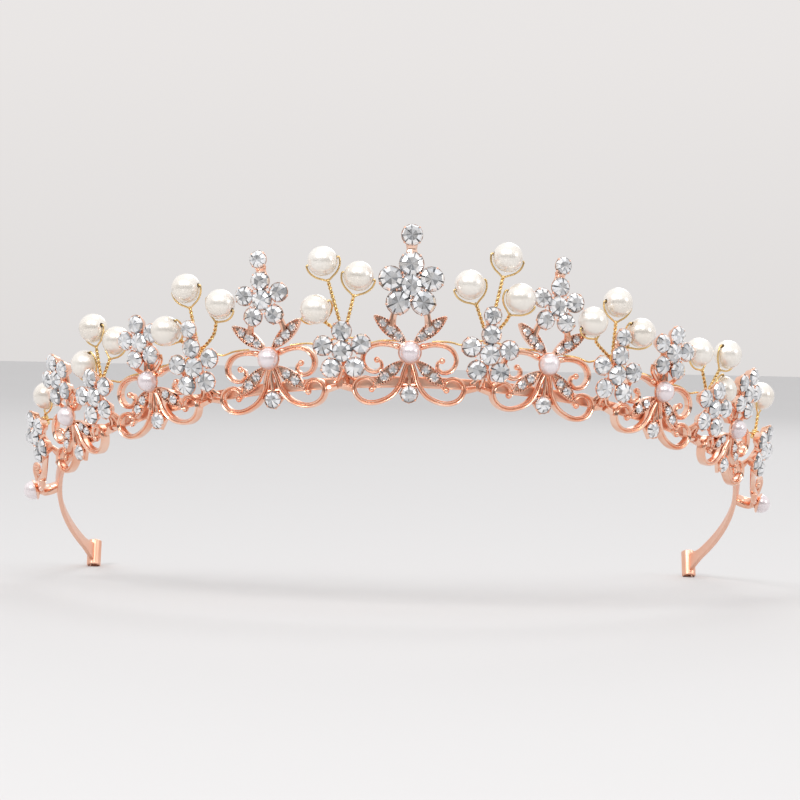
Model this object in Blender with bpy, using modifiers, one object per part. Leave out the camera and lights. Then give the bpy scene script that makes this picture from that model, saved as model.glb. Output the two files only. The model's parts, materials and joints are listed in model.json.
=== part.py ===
"""Bridal tiara: a sprung headband with cast motifs, stone flowers, pearls and wired bead sprays.

Run with: blender --background --python part.py
Lengths are metres, +Z is up, the front of the tiara faces -Y. The ornaments lie on a cone that
leans outward. Every ornament is drawn flat in its own frame, where X runs along the headband,
Y runs up the cone and Z points out of it, and is then placed by the arc length along the headband.
"""
import bmesh
import bpy
from math import atan2, cos, pi, radians, sin, sqrt
from mathutils import Matrix, Vector

MM = 0.001

# Headband strip
BAND_RADIUS = 0.0755        # plan radius of the outer face along the decorated front
SIDE_RADIUS = 0.0636        # plan radius from the last casting to the tail
TAIL_RADIUS = 0.1250        # plan radius of the plain tails
BAND_THICKNESS = 0.0010
BAND_HEIGHT = 0.0022        # along the decorated front
TAIL_HEIGHT = 0.0024        # where the strip is plain
TIP_HEIGHT = 0.0046         # where the tail widens into its rolled end
FLARE_LENGTH = 0.0080
BAND_DROP = 0.0057          # middle of the strip below the pearls, along the cone
TAIL_LENGTH = 0.0464        # from an end pearl to the rolled end
END_PEG = 0.0045            # from the strip to an end pearl
PEG_LENGTH = 0.0014         # peg between the end bracket and its pearl
BRACKET_WIDTH = 0.0013
BRACKET_TALL = 2.1          # the bracket's height as a share of its width
LOOP_RADIUS = 0.0016        # rolled end of a tail
LOOP_HEIGHT = 0.0060
LOOP_BORE_RADIUS = 0.0007
LEAN = radians(20.0)        # the ornaments' cone, outward from upright

# Spacing of the ornaments
PITCH = 0.0264              # arc length from one casting to the next
SIDE_CASTINGS = 3           # castings on each side of the middle one
SIDE_START = SIDE_CASTINGS * PITCH
SPREAD = PITCH / 0.0264     # the scrolls and sprays are drawn for this pitch
END_PEARL_REACH = 0.0168    # from the last small flower to the end pearl

# Castings
CAST_BACK = 0.0003          # the gap from the strip's face to a casting's back
CAST_DEPTH = 0.0018
SCROLL_WIDTH = 0.0010
SCROLL_LOW = 0.00975        # lowest line of the big scrolls, below the pearls
LEAF_THICKNESS = 0.0010
PEARL_SEAT = CAST_BACK + CAST_DEPTH - 0.0002  # top of the seat under a half pearl
FLOWER_BACK = 0.0010        # back of a casting's flower cups
CUP_RIM = 0.00025           # how far a cup stands out past its stone
CUP_DEPTH = 0.0010
SMALL_FLOWER_BACK = 0.0027  # back of the small flowers' cups, proud of the scrolls
GAP = 0.0003                # between parts that are set, glued or threaded together
CENTRE_RAISE = 0.00017      # how far a flower's middle cup stands over its petals
CROWN_LINK_RADIUS = 0.00042
BACKING_THICKNESS = 0.0003  # clear backing of a flower's stones

# Stones and pearls
HALF_PEARL_DIAMETER = 0.0041
END_PEARL_DIAMETER = 0.0041
BASE_STONE_DIAMETER = 0.0033
PAD_DROP = 0.0080           # the base stone's pad below the pearl
STONE_RISE = 0.34           # share of a stone's diameter that stands over its seat
STONE_TABLE = 0.58          # share of it that the flat table takes
BEAD_DIAMETER = 0.0059
BEAD_BORE_DIAMETER = 0.0010
WIRE_DIAMETER = 0.0004
STEM_DIAMETER = 0.0007      # two strands wound round each other
BINDING_DIAMETER = 0.0014   # where the stems are wound to the flower's post

PEARL_LEVEL = (
    SCROLL_LOW * cos(LEAN)
    + (CAST_BACK + CAST_DEPTH / 2) * sin(LEAN)
    + sqrt((SCROLL_WIDTH / 2 * cos(LEAN)) ** 2 + (CAST_DEPTH / 2 * sin(LEAN)) ** 2)
)                           # pearls' height when the scrolls stand on a table
END_PEARL_ARC = (SIDE_CASTINGS + 0.5) * PITCH + END_PEARL_REACH
TAIL_START = END_PEARL_ARC - 0.006
TAIL_END = END_PEARL_ARC + TAIL_LENGTH

# A flower's stones: centre and petal diameters, ring radius, height over the pearls,
# crown stone's diameter (0 for none) and the crown stone's height over the pearls.
CENTRE_FLOWER = {"centre": 0.0043, "petal": 0.0047, "ring": 0.0041, "level": 0.0129,
                 "crown": 0.0040, "crown_level": 0.0226}
SIDE_FLOWER = {"centre": 0.0039, "petal": 0.0037, "ring": 0.0037, "level": 0.0114,
               "crown": 0.0033, "crown_level": 0.0193}
OUTER_FLOWER = {"centre": 0.0039, "petal": 0.0037, "ring": 0.0037, "level": 0.0079,
                "crown": 0.0, "crown_level": 0.0}
SMALL_FLOWER = {"centre": 0.0039, "petal": 0.0038, "ring": 0.0039, "level": 0.0003,
                "crown": 0.0, "crown_level": 0.0}
SMALL_CROWNED = {"centre": 0.0039, "petal": 0.0038, "ring": 0.0039, "level": 0.0003,
                 "crown": 0.0034, "crown_level": 0.0079}
CROWNED_PLACES = (-1.5, 0.5, 1.5)
HAND_SET = {-0.5: 0.0011, 0.5: 0.0011, -1.5: -0.0010}  # small flowers off the middle

# Scrolls in millimetres from a casting's pearl: along the headband, up the cone
BIG_SCROLL = ((0.5, -2.0), (1.2, -4.2), (1.7, -6.1), (3.3, -8.3), (5.7, -9.55), (7.9, -9.75),
              (9.7, -8.9), (10.6, -7.2), (10.0, -5.6), (8.5, -5.0), (7.1, -5.5), (6.6, -6.7),
              (7.2, -7.2))
SIDE_SCROLL = ((1.8, 0.9), (4.0, 1.5), (6.2, 1.5), (7.9, 0.8), (8.9, -0.6), (8.9, -2.1),
               (8.0, -3.4), (6.5, -3.8), (5.4, -3.0), (5.5, -1.9), (6.3, -1.5))
OUTER_ARM = ((0.9, 1.4), (2.3, 2.8), (4.2, 3.3))
# Leaves in millimetres: root, tip and width
UPPER_LEAF = ((0.8, 1.9), (7.0, 7.0), 2.7)
LOWER_LEAF = ((1.2, -1.6), (6.7, -6.4), 2.5)
# The end bracket in millimetres from the strip under the end pearl: along the tail, up, out
END_BRACKET = ((2.2, 0, -0.5), (2.7, 0, 1.5), (1.7, 0, 3.2), (-1.2, 0, 3.8), (-5.0, -0.3, 3.6),
               (-9.0, -0.1, 2.9))
BRACKET_JOIN = (1.7, -3.4, 3.0)  # where it meets the last small flower's cup

# Bead sprays: for each small flower's place, the beads in millimetres from the flower's middle
# (along the headband, up the cone, outward to the bead's back).
SPRAYS = {
    -0.5: ((-3.6, 17.6, -4.0), (3.4, 14.4, -3.5), (-4.9, 8.2, -1.0)),
    0.5: ((2.6, 19.2, -4.0), (-4.6, 13.2, -3.5), (5.2, 11.4, -1.5)),
    -1.5: ((-0.4, 15.8, -3.5), (7.4, 11.3, -2.4), (-5.0, 8.2, -1.0)),
    1.5: ((-1.4, 14.2, -3.5), (-7.0, 9.2, -2.5), (4.6, 9.4, -2.5)),
    -2.5: ((0.8, 14.0, -4.5), (5.0, 10.0, -6.2), (-3.6, 7.6, -3.8)),
    2.5: ((-5.8, 10.0, -4.5), (3.4, 12.4, -4.0), (6.0, 5.4, -4.7)),
    -3.5: ((3.2, 7.4, -5.0),),
    3.5: ((-2.0, 11.0, -5.0),),
}
SPRAY_ROOT_RISE = 0.0030    # where a spray's stems are bound, over the flower's middle
BEHIND_FLOWER = 0.0011      # how far behind the cups the stems run
BINDING_LENGTH = 0.0018
FORK_DROP = BEAD_DIAMETER / 2 + 0.00105  # from a bead's middle down its stem to the fork

COLOURS = {                    # colour, roughness, metallic
    "rose_gold": ((0.86, 0.46, 0.33, 1), 0.22, 1.0),
    "gold_wire": ((0.86, 0.62, 0.28, 1), 0.28, 1.0),
    "crystal": ((0.93, 0.94, 0.95, 1), 0.04, 0.0),
    "lilac_pearl": ((0.86, 0.78, 0.82, 1), 0.18, 0.0),
    "ivory_pearl": ((0.93, 0.88, 0.79, 1), 0.18, 0.0),
}


def material(name):
    """The named finish, made once."""
    found = bpy.data.materials.get(name)
    if found:
        return found
    colour, roughness, metallic = COLOURS[name]
    made = bpy.data.materials.new(name)
    made.use_nodes = True
    shader = made.node_tree.nodes["Principled BSDF"]
    shader.inputs["Base Color"].default_value = colour
    shader.inputs["Roughness"].default_value = roughness
    shader.inputs["Metallic"].default_value = metallic
    return made


def plan(arc):
    """Point and heading on the strip's outer face at an arc length from the middle."""
    side = -1 if arc < 0 else 1
    x = y = turn = start = 0.0
    for end, radius in ((SIDE_START, BAND_RADIUS), (TAIL_START, SIDE_RADIUS), (TAIL_END, TAIL_RADIUS)):
        bend = max(min(abs(arc), end) - start, 0) / radius
        x += radius * (sin(turn + bend) - sin(turn))
        y += radius * (cos(turn) - cos(turn + bend))
        turn += bend
        start = end
    return Vector((side * x, y, 0)), side * turn


def frame(arc, level, lean=LEAN):
    """Ornament frame at an arc length: X along the headband, Y up the cone, Z out of it."""
    point, heading = plan(arc)
    along = Vector((cos(heading), sin(heading), 0))
    out = Vector((sin(heading), -cos(heading), 0))
    up = out * sin(lean) + Vector((0, 0, cos(lean)))
    proud = out * cos(lean) - Vector((0, 0, sin(lean)))
    origin = point + out * (BAND_DROP * sin(LEAN)) + Vector((0, 0, level))
    placed = Matrix((along, up, proud)).transposed().to_4x4()
    placed.translation = origin
    return placed


def link(obj, group):
    """Put an object in a collection."""
    bpy.data.collections[group].objects.link(obj)
    return obj


def from_bmesh(name, shape):
    """A working object from a bmesh."""
    mesh = bpy.data.meshes.new(name)
    shape.to_mesh(mesh)
    shape.free()
    return link(bpy.data.objects.new(name, mesh), "Workpieces")


def disc(centre, radius, bottom, top, sides=8, top_radius=None):
    """A round blank between two depths."""
    shape = bmesh.new()
    bmesh.ops.create_cone(
        shape, cap_ends=True, segments=sides, radius1=radius,
        radius2=radius if top_radius is None else top_radius, depth=top - bottom,
        matrix=Matrix.Translation((centre[0], centre[1], (bottom + top) / 2)),
    )
    return from_bmesh("disc", shape)


def leaf(outline, side, bottom):
    """A pointed leaf plate from root to tip."""
    shape = bmesh.new()
    bmesh.ops.create_cone(shape, cap_ends=True, segments=10, radius1=1, radius2=1,
                          depth=LEAF_THICKNESS)
    root, tip, width = outline
    root = Vector((side * root[0], root[1], 0)) * MM
    tip = Vector((side * tip[0], tip[1], 0)) * MM
    half_length = (tip - root).length / 2
    for vertex in shape.verts:
        x, y, z = vertex.co
        vertex.co = (x * half_length, y * width * MM / 2 * (1 - 0.35 * x * x), z)
    turn = atan2((tip - root).y, (tip - root).x)
    middle = (root + tip) / 2 + Vector((0, 0, bottom + LEAF_THICKNESS / 2))
    bmesh.ops.transform(shape, matrix=Matrix.Translation(middle) @ Matrix.Rotation(turn, 4, "Z"),
                        verts=shape.verts)
    return from_bmesh("leaf", shape)


def smooth_route(points, steps=1):
    """Points on a smooth curve through the given ones."""
    points = [Vector(p) for p in points]
    ends = [points[0] * 2 - points[1]] + points + [points[-1] * 2 - points[-2]]
    route = []
    for a, b, c, d in zip(ends, ends[1:], ends[2:], ends[3:]):
        for step in range(steps):
            t = step / steps
            route.append(0.5 * (2 * b + (c - a) * t + (2 * a - 5 * b + 4 * c - d) * t * t
                                + (3 * b - a - 3 * c + d) * t ** 3))
    return route + [points[-1]]


def tube(route, radius, resolution=1):
    """A round wire along a route, as a closed mesh."""
    data = bpy.data.curves.new("tube", "CURVE")
    data.dimensions = "3D"
    data.bevel_depth = radius
    data.bevel_resolution = resolution
    data.use_fill_caps = True
    spline = data.splines.new("POLY")
    spline.points.add(len(route) - 1)
    for point, place in zip(spline.points, route):
        point.co = (*place, 1)
    curve = link(bpy.data.objects.new("tube", data), "Workpieces")
    bpy.context.view_layer.update()
    mesh = bpy.data.meshes.new_from_object(curve.evaluated_get(bpy.context.evaluated_depsgraph_get()))
    bpy.data.objects.remove(curve)
    shape = bmesh.new()
    shape.from_mesh(mesh)
    bmesh.ops.remove_doubles(shape, verts=shape.verts, dist=1e-6)
    bmesh.ops.recalc_face_normals(shape, faces=shape.faces)
    return from_bmesh("tube", shape)


def flat_route(points, mirrored=False):
    """A scroll's points in its casting's plane, mirrored for the left arm."""
    side = -1 if mirrored else 1
    return [Vector((side * u * (1 + (SPREAD - 1) * min(u / 8, 1)), w, 0)) * MM for u, w in points]


def scroll(points, mirrored):
    """A scroll bar as deep as the casting."""
    bar = tube(smooth_route(flat_route(points, mirrored)), SCROLL_WIDTH / 2)
    for vertex in bar.data.vertices:
        vertex.co.z = vertex.co.z * CAST_DEPTH / SCROLL_WIDTH + CAST_BACK + CAST_DEPTH / 2
    return bar


def fuse(name, pieces, finish, place=None):
    """One closed body from overlapping pieces, placed and named."""
    base, tools = pieces[0], pieces[1:]
    if tools:
        group = bpy.data.collections.new(name + "_tools")
        for tool in tools:
            group.objects.link(tool)
        joint = base.modifiers.new("fuse", "BOOLEAN")
        joint.operation = "UNION"
        joint.solver = "EXACT"
        joint.use_self = True
        joint.operand_type = "COLLECTION"
        joint.collection = group
    bpy.context.view_layer.update()
    mesh = bpy.data.meshes.new_from_object(base.evaluated_get(bpy.context.evaluated_depsgraph_get()))
    for piece in pieces:
        bpy.data.objects.remove(piece)
    shape = bmesh.new()
    shape.from_mesh(mesh)
    bmesh.ops.remove_doubles(shape, verts=shape.verts, dist=1e-6)
    bmesh.ops.dissolve_degenerate(shape, edges=shape.edges, dist=1e-6)
    shape.to_mesh(mesh)
    shape.free()
    mesh.name = name
    mesh.materials.clear()
    mesh.materials.append(material(finish))
    body = link(bpy.data.objects.new(name, mesh), "Bridal tiara")
    if place:
        body.matrix_world = place
    return body


def petal_places(flower):
    """Centres of a flower's five petal stones."""
    ring, level = flower["ring"], flower["level"]
    return [(ring * cos(radians(90 + 72 * k)), level + ring * sin(radians(90 + 72 * k)))
            for k in range(5)]


def cups(flower, back):
    """A flower's six stone cups, and the crown stone's cup on its link."""
    top = back + CUP_DEPTH
    centre = (0, flower["level"])
    made = [disc(centre, flower["centre"] / 2 + CUP_RIM, back + 0.13 * MM, top + CENTRE_RAISE)]
    for place in petal_places(flower):
        made.append(disc(place, flower["petal"] / 2 + CUP_RIM, back, top))
    if flower["crown"]:
        crown = (0, flower["crown_level"])
        made.append(disc(crown, flower["crown"] / 2 + CUP_RIM, back + 0.11 * MM, top - 0.07 * MM))
        link_depth = back + CUP_DEPTH / 2
        bar = [Vector((0, flower["level"] + flower["ring"], link_depth)), Vector((*crown, link_depth))]
        made.append(tube(bar, CROWN_LINK_RADIUS))
    return made


def stone(place, diameter, seat):
    """A cut stone, from its girdle up to its flat table."""
    top = seat + STONE_RISE * diameter
    return disc(place, diameter / 2, seat, top, sides=8, top_radius=STONE_TABLE * diameter / 2)


def flower_stones(name, flower, back, place):
    """A flower's stones on the clear backing that they are set in."""
    seat = back + CUP_DEPTH + CENTRE_RAISE + GAP
    pieces = [disc((0, flower["level"]), flower["ring"], seat, seat + BACKING_THICKNESS, sides=10)]
    pieces.append(stone((0, flower["level"]), flower["centre"], seat + 0.13 * MM))
    for petal in petal_places(flower):
        pieces.append(stone(petal, flower["petal"], seat + 0.05 * MM))
    if flower["crown"]:
        pieces.append(stone((0, flower["crown_level"]), flower["crown"], seat + 0.05 * MM))
        bar = [Vector((0, flower["level"] + flower["ring"] - 0.3 * MM, seat + 0.5 * MM)),
               Vector((0, flower["crown_level"] + 0.1 * MM, seat + 0.5 * MM))]
        pieces.append(tube(bar, 0.9 * CROWN_LINK_RADIUS))
    return fuse(name, pieces, "crystal", place)


def casting(name, rank, flower, place):
    """A cast motif: scrolls, leaves, pearl seat, base stone pad and flower cups."""
    low = CAST_BACK
    pieces = [disc((0, 0), HALF_PEARL_DIAMETER / 2 + CUP_RIM, low + 0.2 * MM, PEARL_SEAT, sides=12)]
    for mirrored in (False, True):
        side = -1 if mirrored else 1
        pieces.append(scroll(BIG_SCROLL, mirrored))
        pieces.append(scroll(SIDE_SCROLL, mirrored))
        pieces.append(leaf(LOWER_LEAF, side, low + 0.62 * MM))
        if rank < 2:
            pieces.append(leaf(UPPER_LEAF, side, low + 0.57 * MM))
            petal = petal_places(flower)[2 if mirrored else 3]
            post = [Vector((*petal, low + 1.3 * MM)), Vector((side * 3.6, 4.3, 1.35)) * MM]
            pieces.append(tube(post, 0.6 * MM))
        else:
            arm = [p + Vector((0, 0, low + 1.0 * MM)) for p in flat_route(OUTER_ARM, mirrored)]
            pieces.append(tube(smooth_route(arm), 0.45 * MM))
    if rank >= 2:
        stalk = [Vector((0, 1.2 * MM, low + 0.6 * MM)), Vector((0, flower["level"], low + 1.2 * MM))]
        pieces.append(tube(stalk, 0.55 * MM))
    pieces.append(disc((0, -PAD_DROP), BASE_STONE_DIAMETER / 2 + 2 * CUP_RIM,
                       low + 0.4 * MM, low + 1.43 * MM, sides=4))
    spine = [Vector((0, -1.5 * MM, low + 0.83 * MM)), Vector((0, 1 * MM - PAD_DROP, low + 0.83 * MM))]
    pieces.append(tube(spine, 0.55 * MM))
    pieces += cups(flower, FLOWER_BACK)
    return fuse(name, pieces, "rose_gold", place)


def half_pearl(name, diameter, seat, place):
    """A flat-backed pearl on its seat."""
    shape = bmesh.new()
    bmesh.ops.create_uvsphere(shape, u_segments=12, v_segments=7, radius=diameter / 2)
    cut = bmesh.ops.bisect_plane(shape, geom=shape.verts[:] + shape.edges[:] + shape.faces[:],
                                 plane_co=(0, 0, -0.1 * diameter), plane_no=(0, 0, -1), clear_outer=True)
    rim = [item for item in cut["geom_cut"] if isinstance(item, bmesh.types.BMEdge)]
    bmesh.ops.edgeloop_fill(shape, edges=rim)
    bmesh.ops.translate(shape, verts=shape.verts, vec=(0, 0, seat + 0.1 * diameter))
    return fuse(name, [from_bmesh("pearl", shape)], "lilac_pearl", place)


def headband():
    """The sprung strip with its rolled ends and the small flowers' cups soldered on posts."""
    shape = bmesh.new()
    steps = 54
    bmesh.ops.create_grid(shape, x_segments=steps, y_segments=1, size=1)
    for vertex in shape.verts:
        arc = vertex.co.x * TAIL_END
        plain = min(max((abs(arc) - TAIL_START) / (TAIL_END - TAIL_START), 0), 1)
        flare = max(1 - (TAIL_END - abs(arc)) / FLARE_LENGTH, 0)
        height = BAND_HEIGHT if plain == 0 else TAIL_HEIGHT + (TIP_HEIGHT - TAIL_HEIGHT) * flare
        lean = LEAN * (1 - plain)
        drop = BAND_DROP * cos(LEAN)
        middle = (PEARL_LEVEL - drop) * (1 - plain) + LOOP_HEIGHT / 2 * plain
        point, heading = plan(arc)
        out = Vector((sin(heading), -cos(heading), 0))
        rise = vertex.co.y * height / 2
        vertex.co = point + out * (rise * sin(lean)) + Vector((0, 0, middle + rise * cos(lean)))
    strip = from_bmesh("strip", shape)
    wall = strip.modifiers.new("wall", "SOLIDIFY")
    wall.thickness = BAND_THICKNESS
    wall.offset = -1
    pieces = [strip]
    for side in (-1, 1):
        pieces.append(rolled_end(side))
    for place in flower_places():
        flower = SMALL_CROWNED if place in CROWNED_PLACES else SMALL_FLOWER
        matrix = small_flower_frame(place)
        route = [(0, -5.7, -0.5), (0, -4.2, 0.6), (0, -2.4, 2.3), (0, 0.3, 3.2)]
        post = smooth_route([Vector(p) * MM for p in route])
        fitted = [tube(post, 0.65 * MM)] + cups(flower, SMALL_FLOWER_BACK)
        for piece in fitted:
            piece.data.transform(matrix)
        pieces += fitted
    for side in (-1, 1):
        peg = disc((0, 0), END_PEARL_DIAMETER / 3, END_PEG - PEG_LENGTH, END_PEG)
        peg.data.transform(end_pearl_frame(side))
        pieces += [peg, end_bracket(side)]
    return fuse("headband_strip", pieces, "rose_gold")


def end_bracket(side):
    """The tall bar from a tail, under its end pearl, to the last small flower."""
    seat = end_pearl_frame(side)
    u, w, n = BRACKET_JOIN
    join = small_flower_frame(side * (SIDE_CASTINGS + 0.5)) @ (Vector((side * u, w, n)) * MM)
    bar = [Vector((side * u, w, n)) * MM for u, w, n in END_BRACKET] + [seat.inverted() @ join]
    tall = Matrix.Diagonal((1, BRACKET_TALL, 1, 1))
    made = tube([tall.inverted() @ point for point in bar], BRACKET_WIDTH / 2)
    made.data.transform(seat @ tall)
    return made


def rolled_end(side):
    """The barrel that the strip's tip is rolled into."""
    point, heading = plan(side * TAIL_END)
    out = Vector((sin(heading), -cos(heading), 0))
    centre = point - out * (BAND_THICKNESS / 2)
    shape = bmesh.new()
    corners = [(LOOP_BORE_RADIUS, 0), (LOOP_RADIUS, 0), (LOOP_RADIUS, LOOP_HEIGHT),
               (LOOP_BORE_RADIUS, LOOP_HEIGHT)]
    loop = [shape.verts.new((x, 0, z)) for x, z in corners]
    for a, b in zip(loop, loop[1:] + loop[:1]):
        shape.edges.new((a, b))
    bmesh.ops.spin(shape, geom=shape.verts[:] + shape.edges[:], cent=(0, 0, 0), axis=(0, 0, 1),
                   angle=2 * pi, steps=12, use_merge=True)
    bmesh.ops.recalc_face_normals(shape, faces=shape.faces)
    bmesh.ops.translate(shape, verts=shape.verts, vec=centre)
    return from_bmesh("rolled_end", shape)


def flower_places():
    """Places of the small flowers, in pitches from the middle."""
    count = SIDE_CASTINGS + 1
    return [k + 0.5 for k in range(-count, count)]


def small_flower_frame(place):
    """Ornament frame of a small flower, by its place in pitches."""
    return frame(place * PITCH + HAND_SET.get(place, 0), PEARL_LEVEL)


def end_pearl_frame(side):
    """Ornament frame of an end pearl, on the middle of the strip."""
    return frame(side * END_PEARL_ARC, PEARL_LEVEL) @ Matrix.Translation((0, -BAND_DROP, 0))


def bead_frames(place):
    """Each bead's frame (Z along the bore, X up the stem), fork and clearing point, and the root."""
    flower = small_flower_frame(place)
    middle = Vector((0, SMALL_FLOWER["level"], SMALL_FLOWER_BACK))
    clear = SMALL_FLOWER["ring"] + SMALL_FLOWER["petal"] / 2 + CUP_RIM + STEM_DIAMETER
    made = []
    for spot in SPRAYS[place]:
        along, up, back = spot
        centre = middle + Vector((along * SPREAD * MM, up * MM, back * MM + BEAD_DIAMETER / 2))
        side_step = Vector((0, SPRAY_ROOT_RISE, 0))
        if centre.z > SMALL_FLOWER_BACK - STEM_DIAMETER / 2:
            side_step = Vector((centre.x, centre.y - middle.y, 0)).normalized() * clear
        passing = middle + side_step + Vector((0, 0, -BEHIND_FLOWER))
        reach = centre - passing
        stem = reach.normalized()
        bore = stem.cross(Vector((0, 0, 1))).normalized()
        local = Matrix((stem, bore.cross(stem), bore)).transposed().to_4x4()
        local.translation = centre
        drop = min(FORK_DROP, reach.length)
        made.append((flower @ local, drop, flower @ passing))
    root = Matrix.Translation(middle + Vector((0, SPRAY_ROOT_RISE, -BEHIND_FLOWER)))
    return made, flower @ root


def bead(name, place):
    """A round bead drilled through, turned about its bore."""
    mesh = bpy.data.meshes.new(name)
    shape = bmesh.new()
    bore = BEAD_BORE_DIAMETER / 2
    half = sqrt((BEAD_DIAMETER / 2) ** 2 - bore ** 2)
    first = atan2(half, bore)
    angles = [first * (1 - k / 3) for k in range(7)]
    loop = [shape.verts.new((BEAD_DIAMETER / 2 * cos(a), 0, BEAD_DIAMETER / 2 * sin(a))) for a in angles]
    for a, b in zip(loop, loop[1:] + loop[:1]):
        shape.edges.new((a, b))
    shape.to_mesh(mesh)
    shape.free()
    body = link(bpy.data.objects.new(name, mesh), "Bridal tiara")
    turned = body.modifiers.new("turned", "SCREW")
    turned.steps = 10
    turned.render_steps = 10
    turned.use_merge_vertices = True
    turned.merge_threshold = 1e-6
    turned.use_normal_calculate = True
    mesh.materials.append(material("ivory_pearl"))
    body.matrix_world = place
    return body


def spray_wire(name, place):
    """The stems of one spray, each forked round its bead and threaded through it."""
    frames, root = bead_frames(place)
    ends = [root @ Vector((0, -BINDING_LENGTH / 2, 0)), root @ Vector((0, BINDING_LENGTH / 2, 0))]
    pieces = [tube(ends, BINDING_DIAMETER / 2)]
    reach = BEAD_DIAMETER / 2
    for bead_frame, drop, passing in frames:
        fork = bead_frame @ Vector((0.3 * MM - drop, 0, 0))
        turning = (passing - root.translation).length > STEM_DIAMETER and drop == FORK_DROP
        stem = [root.translation, passing, fork] if turning else [root.translation, fork]
        pieces.append(tube(stem, STEM_DIAMETER / 2))
        half = [(0.05 * MM - drop, 0, 0.12 * MM), (0.5 * MM - drop, 0, 0.85 * MM),
                (-0.62 * reach, 0, reach + 0.05 * MM), (-0.2 * reach, 0, reach + 0.5 * MM),
                (0, 0, reach + 0.3 * MM), (0, 0, reach * 0.8)]
        path = [Vector(p) for p in half] + [Vector((x, y, -z)) for x, y, z in reversed(half)]
        pieces.append(tube([bead_frame @ p for p in path], WIRE_DIAMETER / 2, 0))
    return fuse(name, pieces, "gold_wire")


def side_name(place):
    """left or right, and how far out, for a place in pitches."""
    if place == 0:
        return "centre"
    return ("left_" if place < 0 else "right_") + str(int(abs(place) + 0.5))


def centre_on_origin():
    """Move the tiara so that its box stands on the origin."""
    bpy.context.view_layer.update()
    depsgraph = bpy.context.evaluated_depsgraph_get()
    places = []
    for body in bpy.data.collections["Bridal tiara"].objects:
        shown = body.evaluated_get(depsgraph)
        places += [body.matrix_world @ vertex.co for vertex in shown.to_mesh().vertices]
        shown.to_mesh_clear()
    low = Vector([min(place[k] for place in places) for k in range(3)])
    high = Vector([max(place[k] for place in places) for k in range(3)])
    shift = Matrix.Translation((-(low.x + high.x) / 2, -(low.y + high.y) / 2, -low.z))
    for body in bpy.data.collections["Bridal tiara"].objects:
        body.matrix_world = shift @ body.matrix_world


def main():
    for old in list(bpy.data.objects):
        bpy.data.objects.remove(old)
    for group in ("Bridal tiara", "Workpieces"):
        bpy.context.scene.collection.children.link(bpy.data.collections.new(group))
    headband()
    for k in range(-SIDE_CASTINGS, SIDE_CASTINGS + 1):
        flower = (CENTRE_FLOWER, SIDE_FLOWER, OUTER_FLOWER, OUTER_FLOWER)[abs(k)]
        place = frame(k * PITCH, PEARL_LEVEL)
        label = side_name(k)
        casting("casting_" + label, abs(k), flower, place)
        flower_stones("flower_stones_" + label, flower, FLOWER_BACK, place)
        half_pearl("half_pearl_" + label, HALF_PEARL_DIAMETER, PEARL_SEAT + GAP, place)
    for spot in flower_places():
        label = side_name(spot)
        flower = SMALL_CROWNED if spot in CROWNED_PLACES else SMALL_FLOWER
        flower_stones("small_flower_stones_" + label, flower, SMALL_FLOWER_BACK,
                      small_flower_frame(spot))
        frames, _ = bead_frames(spot)
        for letter, (bead_frame, _, _) in zip("abc", frames):
            bead("bead_" + label + "_" + letter, bead_frame)
        spray_wire("spray_wire_" + label, spot)
    for side, label in ((-1, "left"), (1, "right")):
        half_pearl("end_pearl_" + label, END_PEARL_DIAMETER, END_PEG + GAP, end_pearl_frame(side))
    centre_on_origin()


main()
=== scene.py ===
"""Bridal tiara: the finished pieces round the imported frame.

A sprung headband carries seven cast scroll motifs, each with a pearl, a stone flower and small
stones set in its leaves. Eight small stone flowers stand between them with wired bead sprays.
Lengths are metres, +Z is up and the front faces -Y. Each ornament is drawn flat in its own frame,
where X runs along the headband, Y runs up the leaning cone and Z points out of it.
"""
import json
import random
from math import atan2, cos, pi, radians, sin, sqrt

import bmesh
import bpy
from bpy.props import FloatProperty, FloatVectorProperty, IntProperty, PointerProperty
from mathutils import Matrix, Vector


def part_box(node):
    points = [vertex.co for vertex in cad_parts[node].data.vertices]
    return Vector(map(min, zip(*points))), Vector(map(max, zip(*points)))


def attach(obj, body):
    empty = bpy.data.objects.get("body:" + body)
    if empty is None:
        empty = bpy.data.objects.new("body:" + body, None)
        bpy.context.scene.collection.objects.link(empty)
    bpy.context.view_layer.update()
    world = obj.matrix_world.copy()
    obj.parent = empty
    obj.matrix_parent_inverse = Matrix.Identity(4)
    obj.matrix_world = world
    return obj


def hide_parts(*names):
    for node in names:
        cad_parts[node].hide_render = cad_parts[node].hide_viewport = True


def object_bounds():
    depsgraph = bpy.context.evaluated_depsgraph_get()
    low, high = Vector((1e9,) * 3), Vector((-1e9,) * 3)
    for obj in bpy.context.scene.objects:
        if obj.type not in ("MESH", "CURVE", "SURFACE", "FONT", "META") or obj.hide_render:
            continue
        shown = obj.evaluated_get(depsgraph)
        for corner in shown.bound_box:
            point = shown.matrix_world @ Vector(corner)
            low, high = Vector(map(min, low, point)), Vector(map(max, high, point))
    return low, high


bl_info = {
    "name": "Bridal tiara",
    "version": (1, 0, 0),
    "blender": (4, 5, 0),
    "location": "3D View > Sidebar > Tiara",
    "description": "Builds the finished pieces of a bridal tiara round its frame",
    "category": "Object",
}

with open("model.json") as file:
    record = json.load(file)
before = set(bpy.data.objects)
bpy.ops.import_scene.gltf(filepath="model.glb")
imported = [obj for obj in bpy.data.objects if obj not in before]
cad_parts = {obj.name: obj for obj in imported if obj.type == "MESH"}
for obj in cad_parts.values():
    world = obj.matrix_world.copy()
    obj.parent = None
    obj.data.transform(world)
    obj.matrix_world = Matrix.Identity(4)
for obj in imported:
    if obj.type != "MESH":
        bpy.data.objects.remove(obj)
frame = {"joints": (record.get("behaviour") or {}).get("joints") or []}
cad_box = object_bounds()

MM = 0.001
BODY = "tiara_frame"

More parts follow.
